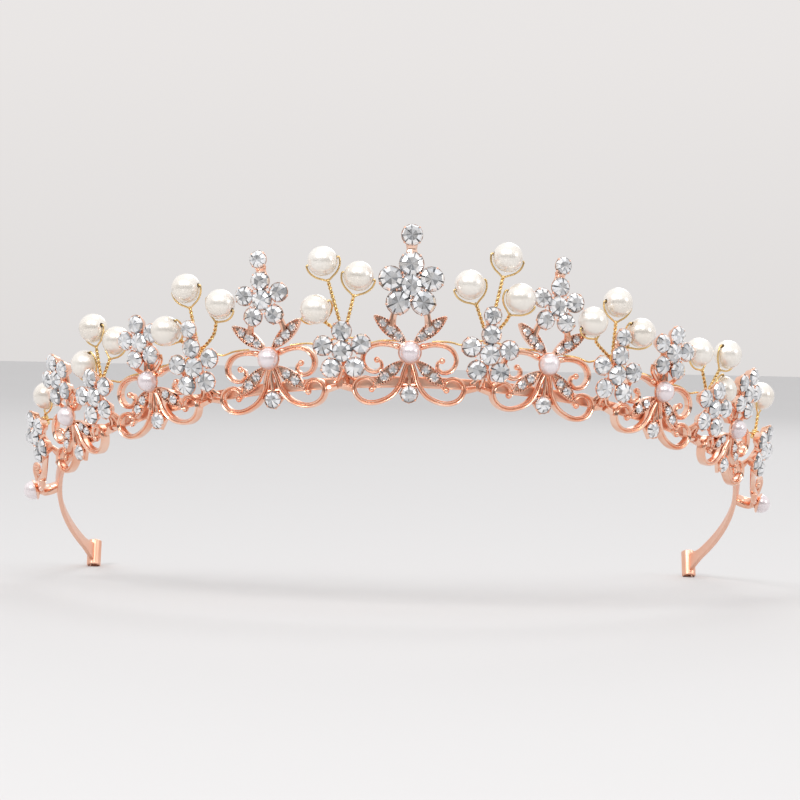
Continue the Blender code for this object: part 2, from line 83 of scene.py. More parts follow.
# Headband, as the frame has it
BAND_RADIUS = 0.0755
SIDE_RADIUS = 0.0636
TAIL_RADIUS = 0.1250
BAND_THICKNESS = 0.0010
BAND_HEIGHT = 0.0022
TAIL_HEIGHT = 0.0024
TIP_HEIGHT = 0.0046
FLARE_LENGTH = 0.0080
BAND_DROP = 0.0057
LOOP_RADIUS = 0.0016
LOOP_HEIGHT = 0.0060
LEAN = radians(20.0)
PITCH = 0.0264
SIDE_CASTINGS = 3
END_PEARL_REACH = 0.0168
TAIL_RUN_IN = 0.006
TAIL_LENGTH = 0.0464
END_PEARL_ARC = (SIDE_CASTINGS + 0.5) * PITCH + END_PEARL_REACH
SIDE_START = SIDE_CASTINGS * PITCH
TAIL_START = END_PEARL_ARC - TAIL_RUN_IN
TAIL_END = END_PEARL_ARC + TAIL_LENGTH
END_PEG = 0.0045
PEG_LENGTH = 0.0014
BRACKET_WIDTH = 0.0013
BRACKET_TALL = 2.1
# The end bracket in millimetres from the strip under the end pearl: along the tail, up, out
END_BRACKET = ((2.2, 0, -0.5), (2.7, 0, 1.5), (1.7, 0, 3.2), (-1.2, 0, 3.8), (-5.0, -0.3, 3.6),
               (-9.0, -0.1, 2.9))
BRACKET_JOIN = (1.7, -3.4, 3.0)
END_CURL = ((-3.2, 0.0, 3.9), (-5.2, 1.7, 4.0), (-7.4, 2.2, 3.7), (-8.6, 1.2, 3.4), (-7.6, 0.5, 3.6))
HAND_SET = {-0.5: 0.0011, 0.5: 0.0011, -1.5: -0.0010}
CROWNED_PLACES = (-1.5, 0.5, 1.5)

# Castings
CAST_BACK = 0.0003
CAST_DEPTH = 0.0018
CAST_MIDDLE = CAST_BACK + CAST_DEPTH / 2
SCROLL_WIDTH = 0.0010
SCROLL_LOW = 0.00975
PEARL_LEVEL = (
    SCROLL_LOW * cos(LEAN) + CAST_MIDDLE * sin(LEAN)
    + sqrt((SCROLL_WIDTH / 2 * cos(LEAN)) ** 2 + (CAST_DEPTH / 2 * sin(LEAN)) ** 2)
)
CUP_RIM = 0.00025
CUP_DEPTH = 0.0010
CUP_LIFT = 0.75 * MM
CENTRE_RAISE = 0.13 * MM
FLOWER_BACK = 0.0010
SMALL_FLOWER_BACK = 0.0027
GAP = 0.0003
PAD_DROP = 0.0080
BASE_STONE_DIAMETER = 0.0033
HALF_PEARL_DIAMETER = 0.0041
HALF_PEARL_SEAT = 0.0022
BEAD_DIAMETER = 0.0059
BEAD_BORE = 0.0010
STEM_DIAMETER = 0.0007
BINDING_DIAMETER = 0.0014
SPRAY_ROOT_RISE = 0.0030
BEHIND_FLOWER = 0.0011
BINDING_LENGTH = 0.0018
FORK_DROP = 0.0040

# A flower's stones: centre and petal diameters, ring radius, height over the pearls,
# crown stone's diameter (0 for none) and the crown stone's height over the pearls.
CENTRE_FLOWER = {"centre": 0.0043, "petal": 0.0047, "ring": 0.0041, "level": 0.0129,
                 "crown": 0.0040, "crown_level": 0.0226}
SIDE_FLOWER = {"centre": 0.0039, "petal": 0.0037, "ring": 0.0037, "level": 0.0114,
               "crown": 0.0033, "crown_level": 0.0193}
OUTER_FLOWER = {"centre": 0.0039, "petal": 0.0037, "ring": 0.0037, "level": 0.0079,
                "crown": 0.0, "crown_level": 0.0}
SMALL_FLOWER = {"centre": 0.0039, "petal": 0.0038, "ring": 0.0039, "level": 0.0003,
                "crown": 0.0, "crown_level": 0.0}
SMALL_CROWNED = {"centre": 0.0039, "petal": 0.0038, "ring": 0.0039, "level": 0.0003,
                 "crown": 0.0034, "crown_level": 0.0079}

# Scrolls in millimetres from a casting's pearl: along the headband, up the cone
BIG_SCROLL = ((0.5, -2.0), (1.2, -4.2), (1.7, -6.1), (3.3, -8.3), (5.7, -9.55), (7.9, -9.75),
              (9.7, -8.9), (10.6, -7.2), (10.0, -5.6), (8.5, -5.0), (7.1, -5.5), (6.6, -6.7),
              (7.2, -7.2))
SIDE_SCROLL = ((1.8, 0.9), (4.0, 1.5), (6.2, 1.5), (7.9, 0.8), (8.9, -0.6), (8.9, -2.1),
               (8.0, -3.4), (6.5, -3.8), (5.4, -3.0), (5.5, -1.9), (6.3, -1.5))
OUTER_ARM = ((0.9, 1.4), (2.3, 2.3), (3.4, 3.4), (3.5, 4.6))
WEB_BAR = ((0.35, -2.4), (0.8, -4.4), (1.5, -6.7))
UPPER_LEAF = ((0.8, 1.9), (7.0, 7.0), 2.7)
LOWER_LEAF = ((1.2, -1.6), (6.7, -6.4), 2.5)
# A scroll's section in millimetres, across and outward: two rounded ridges and a groove
SCROLL_SECTION = ((-0.30, -0.90), (-0.50, -0.72), (-0.50, 0.30), (-0.45, 0.62), (-0.30, 0.80),
                  (-0.14, 0.72), (0.0, 0.52), (0.14, 0.72), (0.30, 0.80), (0.45, 0.62),
                  (0.50, 0.30), (0.50, -0.72), (0.30, -0.90))

# Painted reflections of a stone's facets: how brightly each one seems to throw light back, for its table,
# star and girdle facets
WIDE_FACET_PAINTED_LIGHT = ((0.45, 0.65, 0.80, 0.95, 1.0), (0.60, 0.90, 1.0, 1.0), (0.35, 0.80, 1.0, 1.0, 1.0))
SLIVER_FACET_PAINTED_SHADE = ((0.15, 0.35, 0.80, 1.0), (0.05, 0.15, 0.60), (0.05, 0.12, 0.40))


class TiaraSizes(bpy.types.PropertyGroup):
    """Sizes of the fine work."""
    milgrain: FloatProperty(
        name="Milgrain bead", description="Diameter of the beads round a leaf's rim",
        default=0.00042, unit="LENGTH")
    claw: FloatProperty(
        name="Claw", description="Diameter of the claws that hold a stone",
        default=0.00042, unit="LENGTH")
    upper_pave: FloatProperty(
        name="Upper leaf stone", description="Diameter of the stones in the upper leaves",
        default=0.00195, unit="LENGTH")
    lower_pave: FloatProperty(
        name="Lower leaf stone", description="Diameter of the stones in the lower leaves",
        default=0.00185, unit="LENGTH")
    strand: FloatProperty(
        name="Wire strand", description="Diameter of one strand of a twisted stem",
        default=0.00040, unit="LENGTH")
    twist_pitch: FloatProperty(
        name="Twist pitch", description="Length of one full turn of a twisted stem",
        default=0.00170, unit="LENGTH")
    crown_height: FloatProperty(
        name="Crown height", description="A stone's crown as a share of its diameter",
        default=0.20, subtype="FACTOR")
    table_width: FloatProperty(
        name="Table width", description="A stone's table as a share of its diameter",
        default=0.54, subtype="FACTOR")


class TiaraColours(bpy.types.PropertyGroup):
    """Colours of the finishes."""
    rose_gold: FloatVectorProperty(
        name="Rose gold", description="Plating in the light",
        default=(0.97, 0.67, 0.53), size=3, subtype="COLOR")
    rose_gold_deep: FloatVectorProperty(
        name="Deep rose gold", description="Plating where it is rubbed or gathers",
        default=(0.90, 0.50, 0.35), size=3, subtype="COLOR")
    gold_wire: FloatVectorProperty(
        name="Gold wire", description="Drawn wire of the sprays",
        default=(0.93, 0.66, 0.30), size=3, subtype="COLOR")
    ivory: FloatVectorProperty(
        name="Ivory pearl", description="Beads of the sprays",
        default=(0.89, 0.83, 0.75), size=3, subtype="COLOR")
    lilac: FloatVectorProperty(
        name="Lilac pearl", description="Half pearls of the castings",
        default=(0.85, 0.76, 0.79), size=3, subtype="COLOR")
    floor: FloatVectorProperty(
        name="Floor", description="The plain floor under the tiara",
        default=(0.62, 0.612, 0.61), size=3, subtype="COLOR")


class TiaraStage(bpy.types.PropertyGroup):
    """The view and the floor."""
    floor_tilt: FloatProperty(
        name="Floor tilt", description="Fall of the floor towards the front",
        default=radians(22.0), subtype="ANGLE")
    camera_place: FloatVectorProperty(
        name="Camera place", description="Where the camera stands",
        default=(-0.01486, -0.51997, -0.17213), size=3, subtype="TRANSLATION")
    camera_yaw: FloatProperty(
        name="Camera yaw", description="Turn of the camera to the side",
        default=-0.028, subtype="ANGLE")
    camera_pitch: FloatProperty(
        name="Camera pitch", description="How far the camera looks up",
        default=0.353, subtype="ANGLE")
    camera_roll: FloatProperty(
        name="Camera roll", description="Turn of the camera about its axis",
        default=-0.010, subtype="ANGLE")
    lens: FloatProperty(
        name="Lens", description="Focal length in millimetres", default=117.0)
    seed: IntProperty(
        name="Seed", description="Start of the draws for the stones' facets", default=11)


# ---------------------------------------------------------------- places

def plan(arc):
    """Point and heading on the strip's outer face at an arc length from the middle."""
    side = -1 if arc < 0 else 1
    x = y = turn = start = 0.0
    for end, radius in ((SIDE_START, BAND_RADIUS), (TAIL_START, SIDE_RADIUS), (TAIL_END, TAIL_RADIUS)):
        bend = max(min(abs(arc), end) - start, 0) / radius
        x += radius * (sin(turn + bend) - sin(turn))
        y += radius * (cos(turn) - cos(turn + bend))
        turn += bend
        start = end
    return Vector((side * x, y, 0)), side * turn


def outward(heading):
    """Level direction out of the strip."""
    return Vector((sin(heading), -cos(heading), 0))


def strip_origin():
    """Where the middle of the strip's front lies, from the rolled ends' back edge."""
    _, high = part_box("headband_strip")
    point, heading = plan(TAIL_END)
    centre = point - outward(heading) * (BAND_THICKNESS / 2)
    return Vector((0, high.y - LOOP_RADIUS - centre.y, 0))


ORIGIN = strip_origin()


def ornament_frame(arc):
    """Ornament frame at an arc length, with its origin at the pearls' level."""
    point, heading = plan(arc)
    along = Vector((cos(heading), sin(heading), 0))
    out = outward(heading)
    up = out * sin(LEAN) + Vector((0, 0, cos(LEAN)))
    proud = out * cos(LEAN) - Vector((0, 0, sin(LEAN)))
    placed = Matrix((along, up, proud)).transposed().to_4x4()
    placed.translation = ORIGIN + point + out * (BAND_DROP * sin(LEAN)) + Vector((0, 0, PEARL_LEVEL))
    return placed


def small_flower_frame(place):
    """Ornament frame of a small flower, by its place in pitches."""
    return ornament_frame(place * PITCH + HAND_SET.get(place, 0))


def small_flower_at(place):
    """The stones of the small flower at a place."""
    return SMALL_CROWNED if place in CROWNED_PLACES else SMALL_FLOWER


def flower_places():
    """Places of the small flowers, in pitches from the middle."""
    count = SIDE_CASTINGS + 1
    return [k + 0.5 for k in range(-count, count)]


def casting_places():
    """Places of the castings, in pitches from the middle."""
    return range(-SIDE_CASTINGS, SIDE_CASTINGS + 1)


def casting_flower(place):
    """The stones of the flower on the casting at a place."""
    return (CENTRE_FLOWER, SIDE_FLOWER, OUTER_FLOWER, OUTER_FLOWER)[abs(place)]


def side_name(place):
    """left or right, and how far out, for a place in pitches."""
    if place == 0:
        return "centre"
    return ("left_" if place < 0 else "right_") + str(int(abs(place) + 0.5))


def petal_places(flower):
    """Centres of a flower's five petal stones."""
    ring, level = flower["ring"], flower["level"]
    return [(ring * cos(radians(90 + 72 * k)), level + ring * sin(radians(90 + 72 * k)))
            for k in range(5)]


def flower_seats(flower):
    """Each stone of a flower: place, diameter and how far it stands over the petals."""
    seats = [((0, flower["level"]), flower["centre"], CENTRE_RAISE)]
    seats += [(place, flower["petal"], 0.0) for place in petal_places(flower)]
    if flower["crown"]:
        seats.append(((0, flower["crown_level"]), flower["crown"], 0.0))
    return seats


# ---------------------------------------------------------------- shapes

def smooth_route(points, steps=4):
    """Points on a smooth curve through the given ones."""
    points = [Vector(p) for p in points]
    ends = [points[0] * 2 - points[1]] + points + [points[-1] * 2 - points[-2]]
    route = []
    for a, b, c, d in zip(ends, ends[1:], ends[2:], ends[3:]):
        for step in range(steps):
            t = step / steps
            route.append(0.5 * (2 * b + (c - a) * t + (2 * a - 5 * b + 4 * c - d) * t * t
                                + (3 * b - a - 3 * c + d) * t ** 3))
    return route + [points[-1]]


def mesh_from(work, name):
    """A mesh from a working shape, which is freed."""
    mesh = bpy.data.meshes.new(name)
    work.to_mesh(mesh)
    work.free()
    return mesh


def in_mm(points, side=1):
    """Points given in millimetres, with the first figure turned to a side."""
    return [Vector((side * u, w, n)) * MM for u, w, n in points]


def curve_mesh(data):
    """A curve's shape as a closed mesh."""
    holder = bpy.data.objects.new("bar", data)
    if data.bevel_object:
        bpy.context.scene.collection.objects.link(holder)
        depsgraph = bpy.context.evaluated_depsgraph_get()
        mesh = bpy.data.meshes.new_from_object(holder.evaluated_get(depsgraph))
    else:
        mesh = bpy.data.meshes.new_from_object(holder)
    bpy.data.objects.remove(holder)
    bpy.data.curves.remove(data)
    work = bmesh.new()
    work.from_mesh(mesh)
    bmesh.ops.remove_doubles(work, verts=work.verts, dist=1e-6)
    bmesh.ops.recalc_face_normals(work, faces=work.faces)
    work.to_mesh(mesh)
    work.free()
    return mesh


def poly_curve(name, route, widths, dimensions="3D"):
    """A curve of one straight-stepped spline, with its width at each end and in between."""
    data = bpy.data.curves.new(name, "CURVE")
    data.dimensions = dimensions
    data.use_fill_caps = True
    data.twist_mode = "MINIMUM"
    spline = data.splines.new("POLY")
    spline.points.add(len(route) - 1)
    last = len(route) - 1
    for k, (point, place) in enumerate(zip(spline.points, route)):
        point.co = (*place, 1)
        share = k / last * (len(widths) - 1)
        low = min(int(share), len(widths) - 2)
        point.radius = widths[low] + (widths[low + 1] - widths[low]) * (share - low)
    return data


def add_mesh(shape, mesh, place=None):
    """Join a mesh to a shape at a place."""
    if place:
        mesh.transform(place)
    shape.from_mesh(mesh)
    bpy.data.meshes.remove(mesh)


def add_wire(shape, route, radius, place=None, widths=(1, 1), resolution=2):
    """A round wire along a route."""
    data = poly_curve("wire", route, widths)
    data.bevel_depth = radius
    data.bevel_resolution = resolution
    add_mesh(shape, curve_mesh(data), place)


def add_scroll(shape, points, mirrored, place, widths):
    """A grooved scroll bar with a ball at its curled end."""
    side = -1 if mirrored else 1
    section = bpy.data.curves.new("section", "CURVE")
    section.dimensions = "2D"
    outline = section.splines.new("POLY")
    outline.points.add(len(SCROLL_SECTION) - 1)
    outline.use_cyclic_u = True
    for point, (across, out) in zip(outline.points, SCROLL_SECTION):
        point.co = (across * MM, out * MM, 0, 1)
    profile = bpy.data.objects.new("section", section)
    bpy.context.scene.collection.objects.link(profile)
    route = smooth_route([Vector((side * u, w, 0)) * MM for u, w in points])
    data = poly_curve("scroll", route, widths, "2D")
    data.bevel_mode = "OBJECT"
    data.bevel_object = profile
    mesh = curve_mesh(data)
    bpy.data.objects.remove(profile)
    bpy.data.curves.remove(section)
    add_mesh(shape, mesh, place @ Matrix.Translation((0, 0, CAST_MIDDLE)))
    ball = Matrix.Translation((*route[-1].xy, CAST_MIDDLE + 0.15 * MM))
    add_ball(shape, place @ ball, SCROLL_WIDTH * 0.62, (1, 1, 1.2), 12, 8)


def add_ball(shape, place, radius, stretch=(1, 1, 1), around=8, rings=5):
    """A ball or an oval bead."""
    name = "ball %d %d" % (around, rings)
    if name not in bpy.data.meshes:
        work = bmesh.new()
        bmesh.ops.create_uvsphere(work, u_segments=around, v_segments=rings, radius=1)
        work.to_mesh(bpy.data.meshes.new(name))
        work.free()
    size = Matrix.Diagonal((*(Vector(stretch) * radius), 1))
    add_mesh(shape, bpy.data.meshes[name].copy(), place @ size)


def turned(profile, sides):
    """A closed mesh turned about Z from a profile of radius and height, bottom centre to top centre."""
    work = bmesh.new()
    dots = [work.verts.new((radius, 0, height)) for radius, height in profile]
    for a, b in zip(dots, dots[1:]):
        work.edges.new((a, b))
    bmesh.ops.spin(work, geom=work.verts[:] + work.edges[:], cent=(0, 0, 0), axis=(0, 0, 1),
                   angle=2 * pi, steps=sides, use_merge=True)
    bmesh.ops.remove_doubles(work, verts=work.verts, dist=1e-7)
    bmesh.ops.recalc_face_normals(work, faces=work.faces)
    return mesh_from(work, "turned")


def add_cup(shape, place, spot, diameter, back, rim, claw, turn=0.0):
    """A stone's cup: a tapered wall with a rolled lip, a floor and four claws."""
    radius = diameter / 2
    wall = rim - back
    profile = ((0, 0), (0.50 * radius, 0), (0.62 * radius, 0.06 * wall), (0.80 * radius, 0.45 * wall),
               (radius + 0.2 * CUP_RIM, 0.80 * wall), (radius + 0.5 * CUP_RIM, 0.90 * wall),
               (radius + 0.4 * CUP_RIM, wall), (radius, wall),
               (radius - 0.3 * CUP_RIM, 0.90 * wall), (0.6 * radius, 0.6 * wall), (0, 0.55 * wall))
    middle = place @ Matrix.Translation((*spot, back))
    add_mesh(shape, turned(profile, 20), middle)
    for k in range(4):
        angle = turn + radians(45 + 90 * k)
        reach = radius + 0.05 * MM
        claw_place = Matrix.Translation((reach * cos(angle), reach * sin(angle), wall + 0.04 * MM))
        lean = Matrix.Rotation(angle, 4, "Z") @ Matrix.Rotation(-0.5, 4, "Y")
        add_ball(shape, middle @ claw_place @ lean, claw / 2, (0.85, 1.0, 1.5))


def add_stone(shape, place, diameter, sizes, draw, fine=True):
    """A cut stone with its girdle on the place's plane: wide facets of painted reflection parted by dark
    slivers of painted shade.
    """
    radius = diameter / 2
    crown = sizes.crown_height * diameter
    table = sizes.table_width
    petals = 8 if fine else 6
    cuts = [k + draw.uniform(-0.09, 0.09) for k in range(petals)]
    slivers = [draw.uniform(0.05, 0.15) for _ in range(petals)]
    rings = [(1.0, 0.0), (table, crown)]
    if fine:
        rings.append((0.84, 0.58 * crown))
    corners = [shape.verts.new(place @ Vector((0, 0, crown * 1.06))),
               shape.verts.new(place @ Vector((0, 0, -0.28 * diameter)))]
    for reach, rise in rings:
        for k in range(2 * petals):
            step = cuts[k // 2] + slivers[k // 2] * (1 if k % 2 else -1)
            angle = 2 * pi / petals * step
            spot = Vector((reach * radius * cos(angle), reach * radius * sin(angle), rise))
            corners.append(shape.verts.new(place @ spot))
    hull = bmesh.ops.convex_hull(shape, input=corners)
    tone = shape.faces.layers.float["tone"]
    painted_fire = shape.faces.layers.float["painted_fire"]
    # Painted reflection on the wide facets and painted shade on the slivers, drawn at random for each stone
    wide = [[draw.choice(WIDE_FACET_PAINTED_LIGHT[zone]) for _ in range(petals)] for zone in range(3)]
    thin = [[draw.choice(SLIVER_FACET_PAINTED_SHADE[zone]) for _ in range(petals)] for zone in range(3)]
    inverse = place.inverted()
    for item in hull["geom"]:
        if not isinstance(item, bmesh.types.BMFace):
            continue
        middle = inverse @ item.calc_center_median()
        step = (atan2(middle.y, middle.x) / (2 * pi) % 1) * petals
        reach = middle.xy.length / radius
        zone = 0 if reach < 0.7 * table else (1 if reach < 0.80 else 2)
        cut = round(step) % petals
        off = (step - cuts[cut] + petals / 2) % petals - petals / 2
        piece = cut if off > 0 else cut - 1
        item[tone] = thin[zone][cut] if abs(off) < slivers[cut] else wide[zone][piece]
        # A painted fire tint, drawn at random for each facet
        item[painted_fire] = draw.random()


def stone_shape():
    """An empty shape with the layers that a stone's facets carry: the painted reflection tone and the
    painted fire tint.
    """
    shape = bmesh.new()
    shape.faces.layers.float.new("tone")
    shape.faces.layers.float.new("painted_fire")
    return shape


def add_leaf(shape, place, root, tip, width, back, sizes):
    """A pointed leaf tray with a raised rim of fine beads."""
    root = Vector((*root, 0)) * MM
    tip = Vector((*tip, 0)) * MM
    half = (tip - root).length / 2
    turn = atan2((tip - root).y, (tip - root).x)
    thickness = 1.0 * MM
    middle = Matrix.Translation((root + tip) / 2 + Vector((0, 0, back)))
    local = place @ middle @ Matrix.Rotation(turn, 4, "Z")
    work = bmesh.new()
    bmesh.ops.create_circle(work, cap_ends=True, segments=28, radius=1)
    for vertex in work.verts:
        x, y, _ = vertex.co
        vertex.co = (x * half, y * width * MM / 2 * (1 - 0.35 * x * x), 0)
    top = bmesh.ops.extrude_face_region(work, geom=work.faces[:])
    raised = [item for item in top["geom"] if isinstance(item, bmesh.types.BMVert)]
    bmesh.ops.translate(work, verts=raised, vec=(0, 0, thickness))
    lid = [item for item in top["geom"] if isinstance(item, bmesh.types.BMFace)]
    bmesh.ops.inset_region(work, faces=lid, thickness=0.30 * MM, use_even_offset=True)
    bmesh.ops.translate(work, verts=list({v for f in lid for v in f.verts}), vec=(0, 0, -0.42 * MM))
    bmesh.ops.recalc_face_normals(work, faces=work.faces)
    add_mesh(shape, mesh_from(work, "leaf"), local)
    grains = int(4.3 * half / sizes.milgrain / 1.12)
    for k in range(grains):
        angle = 2 * pi * k / grains
        x = cos(angle) * (1 - 0.10 * sin(angle) ** 2)
        y = sin(angle) * (1 - 0.35 * x * x)
        dot = Vector((x * (half - 0.12 * MM), y * (width * MM / 2 - 0.14 * MM), thickness))
        add_ball(shape, local @ Matrix.Translation(dot), sizes.milgrain / 2, (1, 1, 0.9), 8, 4)


def leaf_spots(leaf, shares):
    """Points along a leaf's middle line."""
    root, tip, _ = leaf
    root, tip = Vector(root), Vector(tip)
    return [(root + (tip - root) * share) * MM for share in shares]


def twisted(route, radius, pitch):
    """Two strands wound round a route."""
    length = sum((b - a).length for a, b in zip(route, route[1:]))
    steps = max(int(length / pitch * 10), 8)
    strands = ([], [])
    across = None
    run = 0.0
    marks = [0.0]
    for a, b in zip(route, route[1:]):
        run += (b - a).length
        marks.append(run)
    for k in range(steps + 1):
        want = length * k / steps
        spot = next((i for i in range(len(marks) - 1) if marks[i + 1] >= want - 1e-12), len(marks) - 2)
        a, b = route[spot], route[spot + 1]
        point = a.lerp(b, (want - marks[spot]) / max(marks[spot + 1] - marks[spot], 1e-9))
        ahead = (b - a).normalized()
        if across is None:
            across = ahead.orthogonal().normalized()
        across = (across - ahead * across.dot(ahead)).normalized()
        other = ahead.cross(across)
        angle = 2 * pi * want / pitch
        offset = across * cos(angle) + other * sin(angle)
        strands[0].append(point + offset * radius)
        strands[1].append(point - offset * radius)
    return strands


def finished(name, shape, finish, body=BODY, replaces=(), flat=False, angle=38.0):
    """A named piece from a shape, with its material, riding on its body."""
    mesh = mesh_from(shape, name)
    mesh.materials.append(bpy.data.materials[finish])
    if flat:
        mesh.shade_flat()
    else:
        mesh.shade_smooth()
        mesh.set_sharp_from_angle(angle=radians(angle))
    piece = bpy.data.objects.new(name, mesh)
    bpy.context.scene.collection.objects.link(piece)
    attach(piece, body)
    if replaces:
        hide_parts(*replaces)
    return piece


# ---------------------------------------------------------------- materials

def new_material(name):
    """A material with a Principled shader."""
    made = bpy.data.materials.new(name)
    made.use_nodes = True
    return made, made.node_tree, made.node_tree.nodes["Principled BSDF"]


def set_inputs(node, **values):
    """Set a node's inputs by name, with _ for a space."""
    for name, value in values.items():
        node.inputs[name.replace("_", " ")].default_value = value


def add_node(tree, kind, **values):
    """A new shader node with its inputs set."""
    made = tree.nodes.new("ShaderNode" + kind)
    set_inputs(made, **values)
    return made


def colour_mix(tree, **values):
    """A new colour mix node with its inputs set."""
    made = tree.nodes.new("ShaderNodeMix")
    made.data_type = "RGBA"
    set_inputs(made, **values)
    return made


def connect(tree, *wires):
    """Join nodes, each wire given as node, output, node, input."""
    for source, out, target, into in wires:
        tree.links.new(source.outputs[out], target.inputs[into])


def surface_group():
    """Fine surface of cast and drawn metal: a height and a slow tone, both 0 to 1."""
    group = bpy.data.node_groups.get("Metal surface")
    if group:
        return group
    group = bpy.data.node_groups.new("Metal surface", "ShaderNodeTree")
    for name, way, kind in (("Vector", "INPUT", "Vector"), ("Grain", "INPUT", "Float"),
                            ("Patch", "INPUT", "Float"), ("Height", "OUTPUT", "Float"),
                            ("Tone", "OUTPUT", "Float")):
        group.interface.new_socket(name, in_out=way, socket_type="NodeSocket" + kind)
    given = group.nodes.new("NodeGroupInput")
    out = group.nodes.new("NodeGroupOutput")
    grain = add_node(group, "TexNoise", Detail=3)
    patch = add_node(group, "TexNoise", Detail=2)
    spread = add_node(group, "MapRange", From_Min=0.36, From_Max=0.64)
    connect(group, (given, "Vector", grain, "Vector"), (given, "Vector", patch, "Vector"),
            (given, "Grain", grain, "Scale"), (given, "Patch", patch, "Scale"),
            (patch, "Fac", spread, "Value"), (grain, "Fac", out, "Height"),
            (spread, "Result", out, "Tone"))
    return group


def surfaced(name, tones, roughs, scales, relief, attribute=None):
    """A shader whose tone, roughness and relief come from the fine surface."""
    _, tree, shader = new_material(name)
    surface = tree.nodes.new("ShaderNodeGroup")
    surface.node_tree = surface_group()
    set_inputs(surface, Grain=scales[0], Patch=scales[1])
    if attribute:
        source = add_node(tree, "Attribute")
        source.attribute_name = attribute
    else:
        source = add_node(tree, "TexCoord")
    tint = colour_mix(tree, A=(*tones[0], 1), B=(*tones[1], 1))
    polish = add_node(tree, "MapRange", To_Min=roughs[0], To_Max=roughs[1])
    bump = add_node(tree, "Bump", Strength=relief[0], Distance=relief[1])
    connect(tree, (source, "Vector" if attribute else "Object", surface, "Vector"),
            (surface, "Tone", tint, "Factor"), (surface, "Tone", polish, "Value"),
            (surface, "Height", bump, "Height"), (tint, "Result", shader, "Base Color"),
            (polish, "Result", shader, "Roughness"), (bump, "Normal", shader, "Normal"))
    return shader


def metal(name, light, deep, rough, grain, patch, depth, attribute=None):
    """A plated or drawn metal: light and deep tones, a roughness range and a fine relief."""
    shader = surfaced(name, (deep, light), (rough[1], rough[0]), (grain, patch), (0.5, depth), attribute)
    set_inputs(shader, Metallic=1.0)


def pearl(name, colour, bloom):
    """A lacquered pearl: a soft body with slow clouds under a clear coat."""
    shader = surfaced(name, (colour, bloom), (0.26, 0.36), (900, 160), (0.08, 0.00001))
    set_inputs(shader, Metallic=0.45, Coat_Weight=1.0, Coat_Roughness=0.06, Coat_IOR=1.6)


def crystal(name):
    """A foiled cut stone: each facet's painted tone stands for its own share of the light thrown back, a
    painted reflection.
    """
    _, tree, shader = new_material(name)
    tone = add_node(tree, "Attribute")
    tone.attribute_name = "tone"
    painted_fire = add_node(tree, "Attribute")
    painted_fire.attribute_name = "painted_fire"
    # Painted reflection: the facet's tone runs from dark through grey to white
    ramp = add_node(tree, "ValToRGB")
    ramp.color_ramp.elements[0].color = (0.035, 0.037, 0.042, 1)
    ramp.color_ramp.elements[1].color = (0.97, 0.98, 1.0, 1)
    middle = ramp.color_ramp.elements.new(0.5)
    middle.color = (0.55, 0.56, 0.58, 1)
    # Painted fire: a faint cool or warm tint on each facet, standing for the stone's coloured flashes
    fire = add_node(tree, "ValToRGB")
    fire.color_ramp.elements[0].color = (0.96, 0.98, 1.0, 1)
    fire.color_ramp.elements[1].color = (1.0, 0.97, 0.93, 1)
    blend = colour_mix(tree, Factor=1.0)
    blend.blend_type = "MULTIPLY"
    connect(tree, (tone, "Fac", ramp, "Fac"), (painted_fire, "Fac", fire, "Fac"),
            (ramp, "Color", blend, "A"), (fire, "Color", blend, "B"),
            (blend, "Result", shader, "Base Color"))
    set_inputs(shader, Metallic=0.55, Roughness=0.12, Coat_Weight=1.0, Coat_Roughness=0.02)


def cloth(name, colour):
    """Plain pale table linen."""
    _, tree, shader = new_material(name)
    source = add_node(tree, "TexCoord")
    folds = add_node(tree, "TexNoise", Scale=5.0, Detail=2)
    bump = add_node(tree, "Bump", Strength=0.35, Distance=0.01)
    connect(tree, (source, "Object", folds, "Vector"), (folds, "Fac", bump, "Height"),
            (bump, "Normal", shader, "Normal"))
    set_inputs(shader, Base_Color=(*colour, 1), Roughness=0.8)


# ---------------------------------------------------------------- operators

class TIARA_OT_finishes(bpy.types.Operator):
    """Make the finishes"""
    bl_idname = "tiara.finishes"
    bl_label = "Finishes"

    def execute(self, context):
        colours = context.scene.tiara_colours
        metal("rose_gold_cast", colours.rose_gold, colours.rose_gold_deep, (0.13, 0.26),
              1100, 240, 0.00009)
        metal("rose_gold_satin", colours.rose_gold, colours.rose_gold_deep, (0.30, 0.42),
              900, 60, 0.00002, "sweep")
        metal("gold_wire_drawn", colours.gold_wire, tuple(c * 0.82 for c in colours.gold_wire),
              (0.18, 0.28), 2400, 300, 0.00001)
        pearl("ivory_pearl_lacquer", colours.ivory, (0.93, 0.89, 0.83))
        pearl("lilac_pearl_lacquer", colours.lilac, (0.91, 0.84, 0.86))
        crystal("foiled_crystal")
        return {"FINISHED"}


